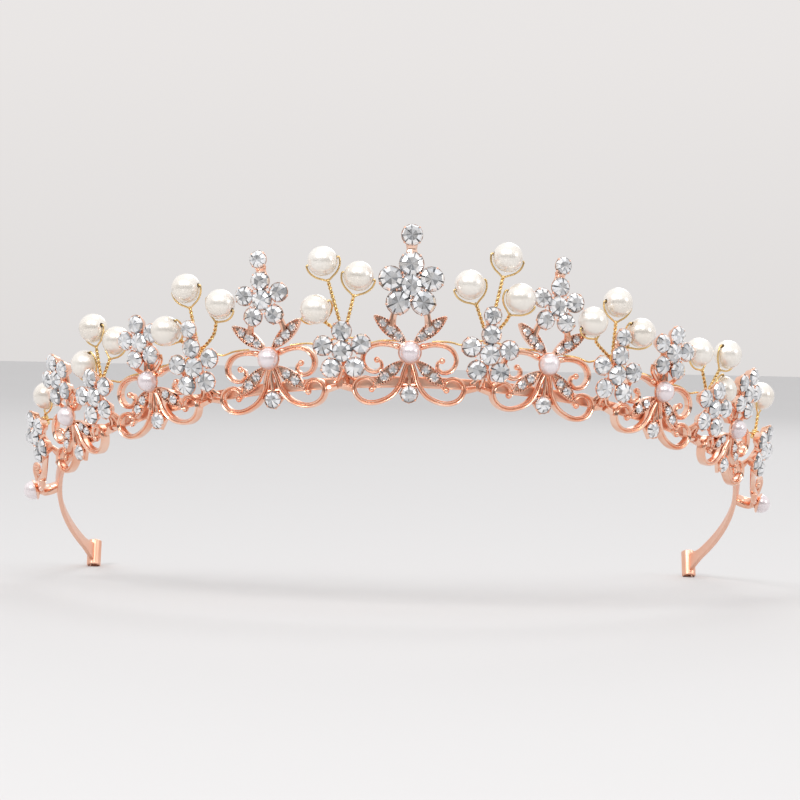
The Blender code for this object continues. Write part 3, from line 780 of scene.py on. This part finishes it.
class TIARA_OT_headband(bpy.types.Operator):
    """Build the sprung strip with its rolled ends"""
    bl_idname = "tiara.headband"
    bl_label = "Headband"

    def execute(self, context):
        steps = 240
        shape = bmesh.new()
        sweep = shape.verts.layers.float_vector.new("sweep")
        bmesh.ops.create_grid(shape, x_segments=steps, y_segments=4, size=1)
        for vertex in shape.verts:
            arc = vertex.co.x * TAIL_END
            plain = min(max((abs(arc) - TAIL_START) / (TAIL_END - TAIL_START), 0), 1)
            flare = max(1 - (TAIL_END - abs(arc)) / FLARE_LENGTH, 0)
            height = BAND_HEIGHT + (TAIL_HEIGHT - BAND_HEIGHT) * min(plain * 9, 1)
            height += (TIP_HEIGHT - TAIL_HEIGHT) * flare ** 1.3
            lean = LEAN * (1 - plain)
            middle = (PEARL_LEVEL - BAND_DROP * cos(LEAN)) * (1 - plain) + LOOP_HEIGHT / 2 * plain
            point, heading = plan(arc)
            rise = vertex.co.y * height / 2
            vertex[sweep] = (arc * 0.06, rise, 0)
            vertex.co = (ORIGIN + point + outward(heading) * (rise * sin(lean))
                         + Vector((0, 0, middle + rise * cos(lean))))
        strip = finished("headband", shape, "rose_gold_satin",
                         replaces=("headband_strip",), angle=30)
        wall = strip.modifiers.new("wall", "SOLIDIFY")
        wall.thickness = BAND_THICKNESS
        wall.offset = -1
        edge = strip.modifiers.new("edge", "BEVEL")
        edge.width = 0.00022
        edge.segments = 2
        edge.limit_method = "ANGLE"
        shape = bmesh.new()
        sweep = shape.verts.layers.float_vector.new("sweep")
        for side in (-1, 1):
            point, heading = plan(side * TAIL_END)
            centre = ORIGIN + point - outward(heading) * (BAND_THICKNESS / 2)
            inner, outer, soft = 0.0009, LOOP_RADIUS, 0.0002
            outline = ((inner, soft), (inner + soft, 0), (outer - soft, 0), (outer, soft),
                       (outer, LOOP_HEIGHT - soft), (outer - soft, LOOP_HEIGHT),
                       (inner + soft, LOOP_HEIGHT), (inner, LOOP_HEIGHT - soft))
            work = bmesh.new()
            loop = [work.verts.new((x, 0, z)) for x, z in outline]
            face = work.faces.new(loop)
            bmesh.ops.spin(work, geom=[face], cent=(0, 0, 0), axis=(0, 0, 1),
                           angle=radians(338), steps=40, use_merge=False)
            bmesh.ops.recalc_face_normals(work, faces=work.faces)
            turn = Matrix.Rotation(heading + (radians(-60) if side > 0 else radians(-98)), 4, "Z")
            add_mesh(shape, mesh_from(work, "rolled"), Matrix.Translation(centre) @ turn)
        for vertex in shape.verts:
            vertex[sweep] = (vertex.co.x * 0.2, vertex.co.z, vertex.co.y)
        finished("rolled_ends", shape, "rose_gold_satin", replaces=("headband_strip",))
        shape = bmesh.new()
        for side in (-1, 1):
            self.bracket(shape, side)
        finished("end_brackets", shape, "rose_gold_cast", replaces=("headband_strip",))
        return {"FINISHED"}

    def bracket(self, shape, side):
        """The tall bar under an end pearl, with its curls and the pearl's dish."""
        seat = ornament_frame(side * END_PEARL_ARC) @ Matrix.Translation((0, -BAND_DROP, 0))
        join = small_flower_frame(side * (SIDE_CASTINGS + 0.5)) @ in_mm((BRACKET_JOIN,), side)[0]
        bar = in_mm(END_BRACKET, side) + [seat.inverted() @ join]
        tall = Matrix.Diagonal((1, BRACKET_TALL, 1, 1))
        route = smooth_route([tall.inverted() @ point for point in bar])
        add_wire(shape, route, BRACKET_WIDTH / 2, seat @ tall, (0.9, 1.0, 1.0, 0.75), 3)
        for lift, curl in ((0.9, END_CURL), (-0.9, [(u, -0.55 * w, n) for u, w, n in END_CURL])):
            line = in_mm([(u, w + lift, n) for u, w, n in curl], side)
            add_wire(shape, smooth_route(line), 0.5 * MM, seat, (1.1, 0.8))
            add_ball(shape, seat @ Matrix.Translation(line[-1]), 0.72 * MM, (1, 1, 1), 12, 8)
        base = END_PEG - 0.35 * MM
        peg = [Vector((0, 0, END_PEG - PEG_LENGTH)), Vector((0, 0, base))]
        add_wire(shape, peg, HALF_PEARL_DIAMETER / 3, seat)
        radius = HALF_PEARL_DIAMETER / 2
        dish = ((0, 0), (0.6 * radius, 0), (radius, 0.35 * MM), (radius + CUP_RIM, 0.75 * MM),
                (radius, 0.80 * MM), (0.85 * radius, 0.5 * MM), (0, 0.4 * MM))
        add_mesh(shape, turned(dish, 28), seat @ Matrix.Translation((0, 0, base)))


def add_flower_metal(shape, place, flower, back, sizes):
    """The cups of a flower, the bars behind them and the crown stone's link."""
    for k, (spot, diameter, over) in enumerate(flower_seats(flower)):
        rim = back + CUP_DEPTH + CUP_LIFT + over
        low = back + (0.1 * MM if k == 0 else 0)
        turn = 0 if k == 0 else radians(72 * (k - 1))
        add_cup(shape, place, spot, diameter, low, rim, sizes.claw, turn)
    depth = back + 0.25 * MM
    for spot in petal_places(flower):
        bar = [Vector((0, flower["level"], depth)), Vector((*spot, depth))]
        add_wire(shape, bar, 0.48 * MM, place, (1.2, 0.8))
    if flower["crown"]:
        low = flower["level"] + flower["ring"] + flower["petal"] * 0.4
        high = flower["crown_level"] - flower["crown"] * 0.4
        depth = back + 0.75 * MM
        bar = [Vector((0, low, depth)), Vector((0, (low + high) / 2, depth - 0.1 * MM)),
               Vector((0, high, depth))]
        add_wire(shape, smooth_route(bar), 0.95 * MM, place, (1.25, 1.05, 1.25))
        for share in (0.25, 0.75):
            spot = Vector((0, low + (high - low) * share, depth + 0.35 * MM))
            add_ball(shape, place @ Matrix.Translation(spot), 0.55 * MM, (1.9, 0.7, 1.0), 10, 6)


class TIARA_OT_castings(bpy.types.Operator):
    """Build the seven cast motifs"""
    bl_idname = "tiara.castings"
    bl_label = "Castings"

    def execute(self, context):
        sizes = context.scene.tiara_sizes
        for place in casting_places():
            self.casting(place, sizes)
        return {"FINISHED"}

    def casting(self, place, sizes):
        """One motif: pearl seat, scrolls, leaves, web, pad and flower cups."""
        shape = bmesh.new()
        at = ornament_frame(place * PITCH)
        flower = casting_flower(place)
        outer = abs(place) >= 2
        radius = HALF_PEARL_DIAMETER / 2
        seat = ((0, -0.5 * MM), (0.7 * radius, -0.5 * MM), (radius, -0.1 * MM),
                (radius + CUP_RIM, 0.35 * MM), (radius + 0.8 * CUP_RIM, 0.55 * MM),
                (radius, 0.45 * MM), (0.7 * radius, 0.2 * MM), (0, 0.1 * MM))
        add_mesh(shape, turned(seat, 28), at @ Matrix.Translation((0, 0, HALF_PEARL_SEAT - GAP)))
        for mirrored in (False, True):
            side = -1 if mirrored else 1
            add_scroll(shape, BIG_SCROLL, mirrored, at, (0.85, 1.05, 1.05, 0.9, 0.7))
            add_scroll(shape, SIDE_SCROLL, mirrored, at, (1.1, 1.0, 0.95, 0.8, 0.65))
            knot = at @ Matrix.Translation((side * 2.7 * MM, 1.25 * MM, CAST_MIDDLE + 0.3 * MM))
            add_ball(shape, knot, 0.75 * MM, (1.2, 0.8, 1.0), 12, 8)
            root, tip, width = LOWER_LEAF
            flip = Vector((side, 1))
            add_leaf(shape, at, Vector(root) * flip, Vector(tip) * flip, width,
                     CAST_BACK + 0.62 * MM, sizes)
            web = in_mm([(u, w, 1.15) for u, w in WEB_BAR], side)
            add_wire(shape, smooth_route(web), 0.34 * MM, at)
            lug = in_mm(((10.3, -7.2, 0.9), (12.9, -6.7, 0.55)), side)
            add_wire(shape, lug, 0.75 * MM, at, (1, 0.8))
            if outer:
                arm = in_mm([(u, w, 1.4) for u, w in OUTER_ARM], side)
                add_wire(shape, smooth_route(arm), 0.5 * MM, at, (1.1, 0.9, 0.9))
            else:
                root, tip, width = UPPER_LEAF
                add_leaf(shape, at, Vector(root) * flip, Vector(tip) * flip, width,
                         CAST_BACK + 0.57 * MM, sizes)
                petal = petal_places(flower)[2 if mirrored else 3]
                post = [Vector((*petal, CAST_BACK + 1.2 * MM)),
                        Vector((side * 3.3 * MM, petal[1] * 0.45 + 2.6 * MM, CAST_BACK + 1.2 * MM)),
                        Vector((side * 3.6 * MM, 4.3 * MM, CAST_BACK + 1.0 * MM))]
                add_wire(shape, smooth_route(post), 0.72 * MM, at, (1.1, 0.9, 1.1))
        ridge = in_mm(((0, -1.6, 1.2), (0, -4.2, 1.5), (0, -6.6, 1.3)))
        add_wire(shape, smooth_route(ridge), 0.42 * MM, at, (1.0, 0.9, 1.2))
        rung = in_mm(((-1.6, -6.3, 1.2), (1.6, -6.3, 1.2)))
        add_wire(shape, rung, 0.36 * MM, at)
        if outer:
            self.riser(shape, at, flower)
        self.pad(shape, at, sizes)
        add_flower_metal(shape, at, flower, FLOWER_BACK, sizes)
        label = side_name(place)
        finished("casting_metal_" + label, shape, "rose_gold_cast",
                 replaces=("casting_" + label,))

    def riser(self, shape, at, flower):
        """The deep stalk from the pearl's seat up behind the flower, with two side ribs."""
        top = flower["level"] + 0.6 * flower["ring"]
        for across, out, wide in ((-1.05, 0.85, 0.48), (0, 1.15, 0.62), (1.05, 0.85, 0.48)):
            line = [Vector((across * 1.3 * MM, 1.3 * MM, 1.1 * MM)),
                    Vector((across * 0.8 * MM, 0.5 * top, out * MM)),
                    Vector((across * 1.5 * MM, top, out * MM))]
            add_wire(shape, smooth_route(line), wide * MM, at, (1.1, 0.9, 1.0))

    def pad(self, shape, at, sizes):
        """The four-cornered pad and cup of the base stone."""
        work = bmesh.new()
        bmesh.ops.create_cone(work, cap_ends=True, segments=4, radius1=2.05 * MM, radius2=1.9 * MM,
                              depth=0.8 * MM)
        bmesh.ops.bevel(work, geom=work.edges[:], offset=0.15 * MM, offset_type="OFFSET",
                        affect="EDGES", segments=2, profile=0.5, material=-1)
        low = CAST_BACK + 0.4 * MM
        add_mesh(shape, mesh_from(work, "pad"), at @ Matrix.Translation((0, -PAD_DROP, low + 0.4 * MM)))
        add_cup(shape, at, (0, -PAD_DROP), BASE_STONE_DIAMETER, low + 0.2 * MM, low + 1.45 * MM,
                sizes.claw)


class TIARA_OT_casting_stones(bpy.types.Operator):
    """Set the small stones of the castings' leaves and pads"""
    bl_idname = "tiara.casting_stones"
    bl_label = "Casting stones"

    def execute(self, context):
        sizes = context.scene.tiara_sizes
        draw = random.Random(context.scene.tiara_stage.seed)
        for place in casting_places():
            shape = stone_shape()
            at = ornament_frame(place * PITCH)
            settings = [(LOWER_LEAF, (0.35, 0.66), sizes.lower_pave, CAST_BACK + 1.55 * MM)]
            if abs(place) < 2:
                settings.append((UPPER_LEAF, (0.23, 0.48, 0.73), sizes.upper_pave,
                                 CAST_BACK + 1.50 * MM))
            for side in (-1, 1):
                for leaf, shares, diameter, girdle in settings:
                    for k, spot in enumerate(leaf_spots(leaf, shares)):
                        size = diameter * (1.0, 1.05, 0.85)[k]
                        seat = Matrix.Translation((side * spot.x, spot.y, girdle))
                        add_stone(shape, at @ seat, size, sizes, draw, fine=False)
            seat = Matrix.Translation((0, -PAD_DROP, CAST_BACK + 1.83 * MM))
            add_stone(shape, at @ seat, BASE_STONE_DIAMETER, sizes, draw)
            finished("casting_crystals_" + side_name(place), shape, "foiled_crystal",
                     flat=True)
        return {"FINISHED"}


class TIARA_OT_flower_stones(bpy.types.Operator):
    """Set the stones of the castings' flowers and of the small flowers"""
    bl_idname = "tiara.flower_stones"
    bl_label = "Flower stones"

    def execute(self, context):
        scene = context.scene
        draw = random.Random(scene.tiara_stage.seed + 1)
        for place in casting_places():
            self.stones("flower_crystals_", "flower_stones_", place, casting_flower(place),
                        ornament_frame(place * PITCH), FLOWER_BACK, draw)
        for place in flower_places():
            self.stones("small_flower_crystals_", "small_flower_stones_", place,
                        small_flower_at(place), small_flower_frame(place), SMALL_FLOWER_BACK, draw)
        return {"FINISHED"}

    def stones(self, name, node, place, flower, at, back, draw):
        """The stones of one flower, just under the lips of their cups."""
        sizes = bpy.context.scene.tiara_sizes
        shape = stone_shape()
        for spot, diameter, over in flower_seats(flower):
            girdle = back + CUP_DEPTH + CUP_LIFT + over + 0.04 * MM
            tip = Matrix.Rotation(draw.uniform(-0.07, 0.07), 4, "X")
            roll = Matrix.Rotation(draw.uniform(-0.07, 0.07), 4, "Y")
            spin = Matrix.Rotation(draw.uniform(0, pi), 4, "Z")
            seat = at @ Matrix.Translation((*spot, girdle)) @ tip @ roll @ spin
            add_stone(shape, seat, diameter * 1.04, sizes, draw)
        label = side_name(place)
        finished(name + label, shape, "foiled_crystal", replaces=(node + label,),
                 flat=True)


class TIARA_OT_half_pearls(bpy.types.Operator):
    """Set the castings' half pearls and the end pearls"""
    bl_idname = "tiara.half_pearls"
    bl_label = "Half pearls"

    def execute(self, context):
        for place in casting_places():
            seat = ornament_frame(place * PITCH) @ Matrix.Translation((0, 0, HALF_PEARL_SEAT))
            self.pearl("casting_pearl_", "half_pearl_", side_name(place), seat)
        for side, label in ((-1, "left"), (1, "right")):
            seat = ornament_frame(side * END_PEARL_ARC) @ Matrix.Translation((0, -BAND_DROP, END_PEG + GAP))
            self.pearl("tail_pearl_", "end_pearl_", label, seat)
        return {"FINISHED"}

    def pearl(self, name, node, label, seat):
        """One flat-backed pearl."""
        radius = HALF_PEARL_DIAMETER / 2
        low = -0.2 * radius
        start = atan2(low, sqrt(radius ** 2 - low ** 2))
        steps = 14
        arc = [(radius * cos(start + (pi / 2 - start) * k / steps),
                radius * sin(start + (pi / 2 - start) * k / steps) - low) for k in range(steps)]
        profile = [(0, 0), (radius * cos(start) - 0.1 * MM, 0)] + arc + [(0, radius - low)]
        shape = bmesh.new()
        add_mesh(shape, turned(profile, 40), seat)
        finished(name + label, shape, "lilac_pearl_lacquer",
                 replaces=(node + label,))


class TIARA_OT_small_flowers(bpy.types.Operator):
    """Build the small flowers' cups and the posts that hold them"""
    bl_idname = "tiara.small_flowers"
    bl_label = "Small flowers"

    def execute(self, context):
        sizes = context.scene.tiara_sizes
        for place in flower_places():
            shape = bmesh.new()
            at = small_flower_frame(place)
            flower = small_flower_at(place)
            route = [(0, -5.7, -0.4), (0, -4.2, 0.6), (0, -2.4, 2.1), (0, 0.3, 3.0)]
            post = smooth_route(in_mm(route))
            add_wire(shape, post, 0.62 * MM, at, (1.2, 0.9, 0.9, 1.0))
            for side in (-1, 1):
                foot = ((2.2, -5.6, 0.1), (1.2, -4.6, 0.6), (0.2, -2.6, 1.9))
                add_wire(shape, smooth_route(in_mm(foot, side)), 0.42 * MM, at)
            add_flower_metal(shape, at, flower, SMALL_FLOWER_BACK, sizes)
            finished("small_flower_cups_" + side_name(place), shape, "rose_gold_cast",
                     replaces=("headband_strip",))
        return {"FINISHED"}


class TIARA_OT_beads(bpy.types.Operator):
    """Thread the drilled pearls of the sprays"""
    bl_idname = "tiara.beads"
    bl_label = "Beads"

    def execute(self, context):
        radius = BEAD_DIAMETER / 2
        bore = BEAD_BORE / 2
        first = atan2(sqrt(radius ** 2 - bore ** 2), bore)
        steps = 24
        for joint in frame["joints"]:
            body = joint["child"]
            node = body[:-len("_body")]
            axis = Vector(joint["axis"]).normalized()
            place = Matrix.Translation(joint["pos_m"]) @ axis.to_track_quat("Z", "X").to_matrix().to_4x4()
            rim = [(radius * cos(first - 2 * first * k / steps),
                    radius * sin(first - 2 * first * k / steps)) for k in range(steps + 1)]
            work = bmesh.new()
            dots = [work.verts.new((x, 0, z)) for x, z in rim]
            for a, b in zip(dots, dots[1:] + dots[:1]):
                work.edges.new((a, b))
            bmesh.ops.spin(work, geom=work.verts[:] + work.edges[:], cent=(0, 0, 0), axis=(0, 0, 1),
                           angle=2 * pi, steps=36, use_merge=True)
            bmesh.ops.recalc_face_normals(work, faces=work.faces)
            bmesh.ops.transform(work, matrix=place, verts=work.verts)
            finished("pearl_" + node, work, "ivory_pearl_lacquer", body=body,
                     replaces=(node,))
        return {"FINISHED"}


class TIARA_OT_spray_wires(bpy.types.Operator):
    """Wind the twisted stems, their forks and the bindings"""
    bl_idname = "tiara.spray_wires"
    bl_label = "Spray wires"

    def execute(self, context):
        sizes = context.scene.tiara_sizes
        for place in flower_places():
            self.spray(place, sizes)
        return {"FINISHED"}

    def spray(self, place, sizes):
        """The stems of one small flower."""
        label = side_name(place)
        shape = bmesh.new()
        flower = small_flower_frame(place)
        inverse = flower.inverted()
        middle = Vector((0, SMALL_FLOWER["level"], SMALL_FLOWER_BACK))
        root = middle + Vector((0, SPRAY_ROOT_RISE, -BEHIND_FLOWER))
        clear = SMALL_FLOWER["ring"] + SMALL_FLOWER["petal"] / 2 + CUP_RIM + STEM_DIAMETER
        reach = BEAD_DIAMETER / 2
        for joint in frame["joints"]:
            if not joint["child"].startswith("bead_" + label + "_"):
                continue
            centre = inverse @ Vector(joint["pos_m"])
            step = Vector((0, SPRAY_ROOT_RISE, 0))
            if centre.z > SMALL_FLOWER_BACK - STEM_DIAMETER / 2:
                step = Vector((centre.x, centre.y - SMALL_FLOWER["level"], 0)).normalized() * clear
            passing = middle + step + Vector((0, 0, -BEHIND_FLOWER))
            stem = (centre - passing).normalized()
            bore = stem.cross(Vector((0, 0, 1))).normalized()
            local = Matrix((stem, bore.cross(stem), bore)).transposed().to_4x4()
            local.translation = centre
            drop = min(FORK_DROP, (centre - passing).length)
            fork = local @ Vector((0.35 * MM - drop, 0, 0))
            turning = (passing - root).length > STEM_DIAMETER and drop == FORK_DROP
            route = smooth_route([root, passing, fork], 8) if turning else [root, fork]
            strand = sizes.strand / 2
            for line in twisted(route, strand * 0.92, sizes.twist_pitch):
                add_wire(shape, line, strand, flower, resolution=1)
            half = [(-drop, 0, 0.10 * MM), (0.45 * MM - drop, 0, 0.75 * MM),
                    (-0.93 * reach, 0, reach * 0.70), (-0.55 * reach, 0, reach + 0.05 * MM),
                    (-0.16 * reach, 0, reach + 0.36 * MM), (0, 0, reach + 0.22 * MM),
                    (0, 0, reach * 0.8)]
            path = smooth_route([Vector(p) for p in half], 5)
            path += [Vector((p.x, p.y, -p.z)) for p in reversed(path)]
            add_wire(shape, path, strand, flower @ local, resolution=2)
        turns = 5
        coil = [root + Vector((BINDING_DIAMETER / 2 * cos(2 * pi * k / 12),
                               BINDING_LENGTH * (k / (12 * turns) - 0.5),
                               BINDING_DIAMETER / 2 * sin(2 * pi * k / 12)))
                for k in range(12 * turns + 1)]
        add_wire(shape, coil, sizes.strand / 2 * 1.05, flower, resolution=1)
        core = [root - Vector((0, BINDING_LENGTH / 2, 0)), root + Vector((0, BINDING_LENGTH / 2, 0))]
        add_wire(shape, core, BINDING_DIAMETER / 2, flower)
        self.tie(shape, place, sizes)
        finished("spray_stems_" + label, shape, "gold_wire_drawn",
                 replaces=("spray_wire_" + label,), angle=60)

    def tie(self, shape, place, sizes):
        """The wire that lies along the scroll arms beside a small flower."""
        arc = place * PITCH + HAND_SET.get(place, 0)
        for side in (-1, 1):
            if abs(place + side / 2) > SIDE_CASTINGS:
                continue
            route = []
            for along, rise, out in ((0.6, 3.0, 1.6), (2.6, 2.7, 1.3), (4.6, 1.9, 1.0),
                                     (6.6, 2.25, 0.9), (8.4, 2.3, 1.2), (10.2, 2.2, 1.3)):
                at = ornament_frame(arc + side * along * MM)
                route.append(at @ (Vector((0, rise, out)) * MM))
            add_wire(shape, smooth_route(route), sizes.strand / 2, resolution=2)


class TIARA_OT_stage(bpy.types.Operator):
    """Lay the floor, hang the lights and set the camera"""
    bl_idname = "tiara.stage"
    bl_label = "Stage"

    def execute(self, context):
        scene = context.scene
        stage = scene.tiara_stage
        cloth("pale_linen", scene.tiara_colours.floor)
        tilt = Matrix.Rotation(stage.floor_tilt, 4, "X")
        low, high = cad_box
        touch = Vector((0, high[1] - LOOP_RADIUS, low[2] - 0.2 * MM))
        work = bmesh.new()
        bmesh.ops.create_grid(work, x_segments=2, y_segments=2, size=2.5)
        mesh = mesh_from(work, "floor")
        mesh.materials.append(bpy.data.materials["pale_linen"])
        floor = bpy.data.objects.new("floor", mesh)
        floor.matrix_world = Matrix.Translation(touch) @ tilt
        scene.collection.objects.link(floor)
        self.lights(scene, Matrix.Translation(touch) @ tilt)
        self.camera(scene, stage)
        return {"FINISHED"}

    def lights(self, scene, level):
        """Soft boxes round the tiara and a pale surround, level with the floor."""
        boxes = (("key", (-0.45, -0.60, 0.62), 0.22, 2.2), ("top", (0.10, 0.15, 0.95), 0.40, 1.0),
                 ("front", (0.12, -0.85, 0.75), 0.35, 1.8),
                 ("right", (0.80, -0.40, 0.35), 0.20, 0.9), ("back", (0.25, 0.80, 0.55), 0.40, 0.8))
        target = Vector((0, -0.06, 0.03))
        for name, place, size, power in boxes:
            data = bpy.data.lights.new(name, "AREA")
            data.shape = "SQUARE"
            data.size = size
            data.energy = power
            lamp = bpy.data.objects.new(name, data)
            spot = Vector(place)
            aim = (target - spot).to_track_quat("-Z", "Y").to_matrix().to_4x4()
            lamp.matrix_world = level @ Matrix.Translation(spot) @ aim
            scene.collection.objects.link(lamp)
        world = bpy.data.worlds.new("surround")
        world.use_nodes = True
        scene.world = world
        tree = world.node_tree
        source = add_node(tree, "TexCoord")
        upright = add_node(tree, "Mapping", Rotation=(-scene.tiara_stage.floor_tilt, 0, 0))
        parts = add_node(tree, "SeparateXYZ")
        depth = add_node(tree, "MapRange", From_Min=0.2, From_Max=-0.7)
        room = add_node(tree, "ValToRGB")
        walls = room.color_ramp.elements
        walls[0].position = 0.42
        walls[0].color = (0.66, 0.63, 0.60, 1)
        walls[1].position = 0.80
        walls[1].color = (0.95, 0.95, 0.96, 1)
        for position, grey in ((0.48, 0.15), (0.64, 0.20), (0.74, 0.80)):
            walls.new(position).color = (grey, grey * 0.98, grey * 0.97, 1)
        shade = colour_mix(tree)
        ramp = add_node(tree, "ValToRGB")
        stops = ramp.color_ramp.elements
        stops[0].position = 0.30
        stops[0].color = (0.50, 0.49, 0.48, 1)
        stops[1].position = 0.85
        stops[1].color = (0.95, 0.95, 0.96, 1)
        stops.new(0.55).color = (0.80, 0.775, 0.765, 1)
        spread = add_node(tree, "MapRange", From_Min=-1)
        seen = add_node(tree, "LightPath")
        unseen = add_node(tree, "Math")
        unseen.operation = "SUBTRACT"
        unseen.use_clamp = True
        background = tree.nodes["Background"]
        connect(tree, (source, "Generated", upright, "Vector"), (upright, "Vector", parts, "Vector"),
                (parts, "Z", spread, "Value"), (spread, "Result", ramp, "Fac"),
                (parts, "Y", depth, "Value"), (ramp, "Color", shade, "A"),
                (spread, "Result", room, "Fac"), (room, "Color", shade, "B"),
                (depth, "Result", unseen, 0), (seen, "Is Camera Ray", unseen, 1),
                (unseen, "Value", shade, "Factor"), (shade, "Result", background, "Color"))
        set_inputs(background, Strength=1.02)

    def camera(self, scene, stage):
        """The camera, without depth of field."""
        data = bpy.data.cameras.new("camera")
        data.lens = stage.lens
        data.sensor_width = 36.0
        data.clip_start = 0.01
        data.clip_end = 20
        camera = bpy.data.objects.new("camera", data)
        turn = (Matrix.Rotation(stage.camera_yaw, 4, "Z") @ Matrix.Rotation(stage.camera_pitch, 4, "X")
                @ Matrix.Rotation(stage.camera_roll, 4, "Y") @ Matrix.Rotation(pi / 2, 4, "X"))
        camera.matrix_world = Matrix.Translation(stage.camera_place) @ turn
        scene.collection.objects.link(camera)
        scene.camera = camera
        scene.view_settings.view_transform = "Standard"


OPERATORS = (TIARA_OT_finishes, TIARA_OT_headband, TIARA_OT_castings, TIARA_OT_casting_stones,
             TIARA_OT_flower_stones, TIARA_OT_half_pearls, TIARA_OT_small_flowers, TIARA_OT_beads,
             TIARA_OT_spray_wires, TIARA_OT_stage)


class TIARA_PT_panel(bpy.types.Panel):
    """The tiara's sizes, colours and pieces"""
    bl_idname = "TIARA_PT_panel"
    bl_label = "Bridal tiara"
    bl_space_type = "VIEW_3D"
    bl_region_type = "UI"
    bl_category = "Tiara"

    def draw(self, context):
        for group in (context.scene.tiara_sizes, context.scene.tiara_colours, context.scene.tiara_stage):
            box = self.layout.box()
            for name in group.bl_rna.properties.keys():
                if name not in ("rna_type", "name"):
                    box.prop(group, name)
        for operator in OPERATORS:
            self.layout.operator(operator.bl_idname)


GROUPS = (("tiara_sizes", TiaraSizes), ("tiara_colours", TiaraColours), ("tiara_stage", TiaraStage))


def register():
    for name, group in GROUPS:
        bpy.utils.register_class(group)
        setattr(bpy.types.Scene, name, PointerProperty(type=group))
    for operator in OPERATORS:
        bpy.utils.register_class(operator)
    bpy.utils.register_class(TIARA_PT_panel)


def unregister():
    bpy.utils.unregister_class(TIARA_PT_panel)
    for operator in reversed(OPERATORS):
        bpy.utils.unregister_class(operator)
    for name, group in reversed(GROUPS):
        delattr(bpy.types.Scene, name)
        bpy.utils.unregister_class(group)


def main():
    register()
    bpy.ops.tiara.finishes()
    bpy.ops.tiara.headband()
    bpy.ops.tiara.castings()
    bpy.ops.tiara.casting_stones()
    bpy.ops.tiara.flower_stones()
    bpy.ops.tiara.half_pearls()
    bpy.ops.tiara.small_flowers()
    bpy.ops.tiara.beads()
    bpy.ops.tiara.spray_wires()
    bpy.ops.tiara.stage()


if __name__ == "__main__":
    main()
